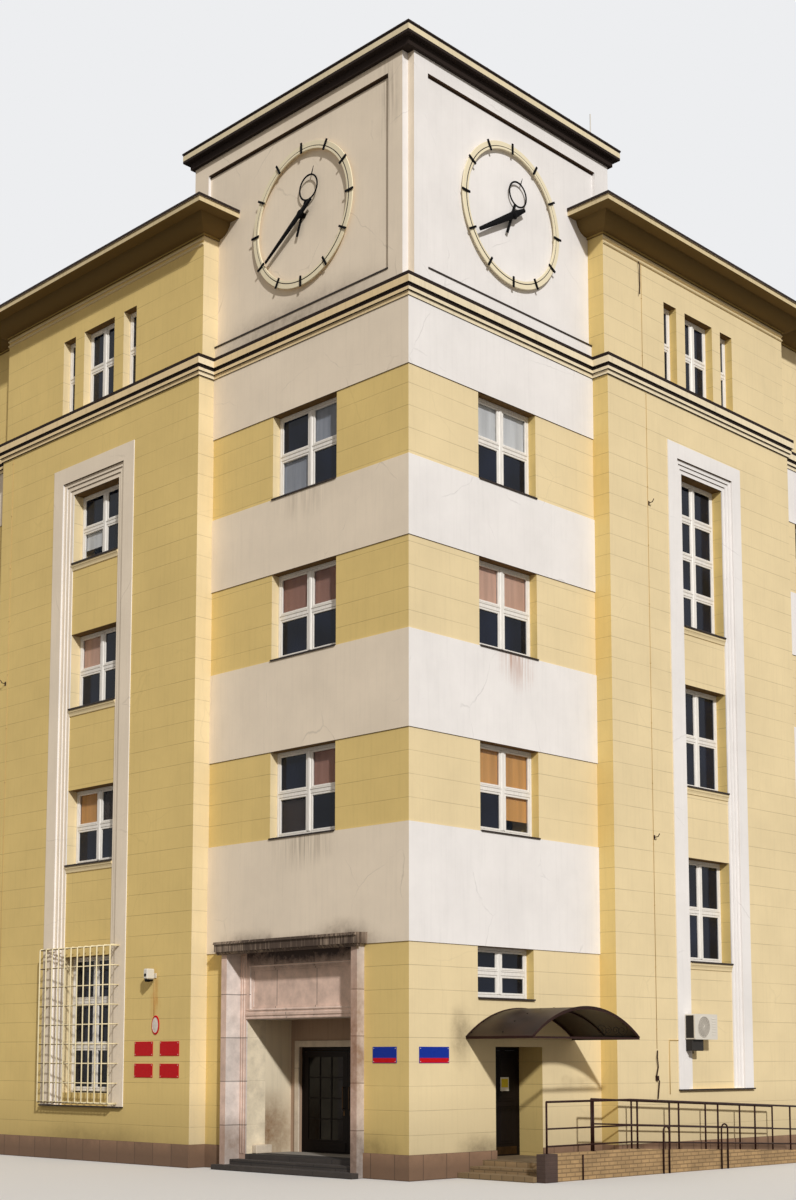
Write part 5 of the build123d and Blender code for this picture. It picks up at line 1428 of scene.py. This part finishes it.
class BUILDING_OT_air_unit(bpy.types.Operator):
    """Dresses the outdoor unit with its fan guard, side slats, dark side, bracket box and drain pipe"""

    bl_idname = "building.air_unit"
    bl_label = "Outdoor Unit"

    def execute(self, context):
        side, u, z = "right", 8.30, 2.87
        front, guard = BAY_OUT + 0.280, 0.22
        # Rings and spokes of the fan guard, and the slats beside it
        bm = bmesh.new()
        for r in (0.06, 0.10, 0.14, 0.18, guard):
            wire = 0.006 if r == guard else 0.003
            tube(bm, circle(side, u, z, front + 0.008, r, r, 40), wire, 6, closed=True)
        for k in range(8):
            angle = math.pi * k / 8
            du, dz = guard * math.cos(angle), guard * math.sin(angle)
            bar(bm, side, [(u - du, front + 0.006, z - dz), (u + du, front + 0.006, z + dz)], 0.003, 6)
        for k in range(7):
            low = 2.70 + 0.055 * k
            block(bm, side, 8.60, 8.76, front - 0.001, front + 0.006, low, low + 0.022, 0.002)
        piece("fan_guard", bm, "white_metal")
        bm = bmesh.new()
        turned(bm, side, u, z, [(0.0, front + 0.002), (0.215, front + 0.002), (0.215, front - 0.001)], 40)
        piece("fan_shade", bm, "fan_grey")
        # Vent in the near side, box behind the foot of the unit, and its drain pipe
        bm = bmesh.new()
        block(bm, side, 7.967, 7.971, BAY_OUT + 0.05, front - 0.03, 2.63, 3.11, 0.001)
        block(bm, side, 7.99, 8.40, BAY_OUT + 0.03, BAY_OUT + 0.20, 2.36, 2.598, 0.010)
        bar(bm, side, [(8.20, BAY_OUT + 0.06, 2.37), (8.20, BAY_OUT + 0.06, 2.30)], 0.012, 10)
        piece("unit_dark_parts", bm, "unit_shade")
        return {"FINISHED"}


def seam(bm, side, u, width, out0, out1, foot, height):
    """Standing seam of a sheet roof between two depths."""
    block(bm, side, u, u + width, out0, out1, foot, foot + height, 0.004)


class BUILDING_OT_roof_trim(bpy.types.Operator):
    """Lays the standing seams of the flat roofs"""

    bl_idname = "building.roof_trim"
    bl_label = "Roof Trim"

    def execute(self, context):
        bm = bmesh.new()
        cover, yard, over_bay, over_wall = EAVES + 0.470, 0.04 - WING_DEPTH, 0.30, -0.02
        for k in range(21):
            x = 6.45 + 0.62 * k
            seam(bm, "right", x, 0.022, yard, over_wall if x > X_FAR else over_bay, cover, 0.030)
        for k in range(20):
            y = 6.75 + 0.66 * k
            # Seams of the left wing end where those of the right one begin
            inner = -5.80 if y < WING_DEPTH else yard
            seam(bm, "left", y, 0.022, inner, over_wall if y > Y_FAR else over_bay, cover, 0.030)
        for k in range(10):
            seam(bm, "right", 0.10 + 0.66 * k, 0.020, -6.70, 0.20, HEAD + 0.380, 0.026)
        piece("standing_seams", bm, "roof")
        return {"FINISHED"}


def seen_directly(tree):
    """One where a surface is seen by the camera, in a mirror or through glass, and zero for its light."""
    path = add_node(tree, "ShaderNodeLightPath")
    seen = add_node(tree, "ShaderNodeMath", {0: path.outputs["Is Camera Ray"],
                                             1: path.outputs["Is Glossy Ray"]}, operation="MAXIMUM")
    seen = add_node(tree, "ShaderNodeMath", {0: seen.outputs[0], 1: path.outputs["Is Transmission Ray"]},
                    operation="MAXIMUM")
    return seen.outputs[0]


def studio_floor(scene):
    """Wide matt floor, pale to the eye and darker for the light it throws up."""
    bm = bmesh.new()
    bmesh.ops.create_circle(bm, cap_ends=True, radius=400, segments=96)
    mesh = bpy.data.meshes.new("studio_floor")
    bm.to_mesh(mesh)
    bm.free()
    floor = bpy.data.objects.new("studio_floor", mesh)
    floor.location = (0, 0, -0.002)
    scene.collection.objects.link(floor)
    made, tree, principled = new_material("studio_floor_paint_matt", linear("#D9D8D6"), Roughness=0.95)
    tone = add_node(tree, "ShaderNodeMix",
                    {0: seen_directly(tree), 6: linear("#7C776F"), 7: linear("#E2E1DF")},
                    data_type="RGBA")
    tree.links.new(tone.outputs[2], principled.inputs["Base Color"])
    mesh.materials.append(made)


def studio_light(scene):
    """Pale backdrop with a warm dim sky light, and one sun lamp with soft edges."""
    world = bpy.data.worlds.new("studio_light")
    scene.world = world
    world.use_nodes = True
    tree = world.node_tree
    tree.nodes.clear()
    soft = add_node(tree, "ShaderNodeBackground", {"Color": linear("#F3EADF"), "Strength": 0.45})
    shown = add_node(tree, "ShaderNodeBackground", {"Color": linear("#EDEEF0"), "Strength": 1.0})
    mixed = add_node(tree, "ShaderNodeMixShader", {0: seen_directly(tree), 1: soft.outputs[0],
                                                   2: shown.outputs[0]})
    add_node(tree, "ShaderNodeOutputWorld", {0: mixed.outputs[0]})
    lamp = bpy.data.lights.new("key_light", "SUN")
    lamp.energy = 2.68
    lamp.angle = math.radians(2.5)
    lamp.color = (1.0, 0.99, 0.98)
    key = bpy.data.objects.new("key_light", lamp)
    key.rotation_euler = Vector((-0.56, -1.0, 0.62)).to_track_quat("Z", "Y").to_euler()
    scene.collection.objects.link(key)


def street_camera(scene):
    """Camera of the photo: across the junction, 2.2 m up, with its lens shifted up."""
    lens = bpy.data.cameras.new("street_camera")
    lens.sensor_fit = "AUTO"
    lens.sensor_width = 36.0
    lens.lens = 50.67
    lens.shift_x = 0.0
    lens.shift_y = 0.225
    lens.clip_start = 0.5
    lens.clip_end = 2000
    camera = bpy.data.objects.new("street_camera", lens)
    camera.location = (-22.044, -21.468, 2.184)
    camera.rotation_euler = (math.radians(96.389), 0.0, math.radians(-45.388))
    scene.collection.objects.link(camera)
    scene.camera = camera


class BUILDING_OT_stage(bpy.types.Operator):
    """Sets the pale floor, the sky light, the soft sun lamp and the camera"""

    bl_idname = "building.stage"
    bl_label = "Studio"

    def execute(self, context):
        scene = context.scene
        studio_floor(scene)
        studio_light(scene)
        street_camera(scene)
        scene.view_settings.view_transform = "Standard"
        return {"FINISHED"}


PIECES = (
    BUILDING_OT_finishes,
    BUILDING_OT_street_windows,
    BUILDING_OT_yard_windows,
    BUILDING_OT_panes,
    BUILDING_OT_clock_rings,
    BUILDING_OT_clock_hands,
    BUILDING_OT_string_and_eaves,
    BUILDING_OT_portal,
    BUILDING_OT_main_doors,
    BUILDING_OT_side_door,
    BUILDING_OT_basket_grille,
    BUILDING_OT_canopy,
    BUILDING_OT_ramp_railing,
    BUILDING_OT_plates,
    BUILDING_OT_camera_and_cables,
    BUILDING_OT_air_unit,
    BUILDING_OT_roof_trim,
    BUILDING_OT_stage,
)


class BUILDING_PT_panel(bpy.types.Panel):
    """Lists the pieces of the building"""

    bl_label = "Building"
    bl_idname = "BUILDING_PT_panel"
    bl_space_type = "VIEW_3D"
    bl_region_type = "UI"
    bl_category = "Building"

    def draw(self, context):
        column = self.layout.column()
        for operator in PIECES:
            column.operator(operator.bl_idname)
        for settings in (context.scene.building_finish, context.scene.building_joinery):
            for name in settings.bl_rna.properties.keys():
                if name not in ("rna_type", "name"):
                    column.prop(settings, name)


CLASSES = (FinishSettings, JoinerySettings, *PIECES, BUILDING_PT_panel)


def register():
    for item in CLASSES:
        bpy.utils.register_class(item)
    bpy.types.Scene.building_finish = bpy.props.PointerProperty(type=FinishSettings)
    bpy.types.Scene.building_joinery = bpy.props.PointerProperty(type=JoinerySettings)


def unregister():
    del bpy.types.Scene.building_joinery
    del bpy.types.Scene.building_finish
    for item in reversed(CLASSES):
        bpy.utils.unregister_class(item)


def main():
    register()
    for operator in PIECES:
        group, name = operator.bl_idname.split(".")
        getattr(getattr(bpy.ops, group), name)()


if __name__ == "__main__":
    main()
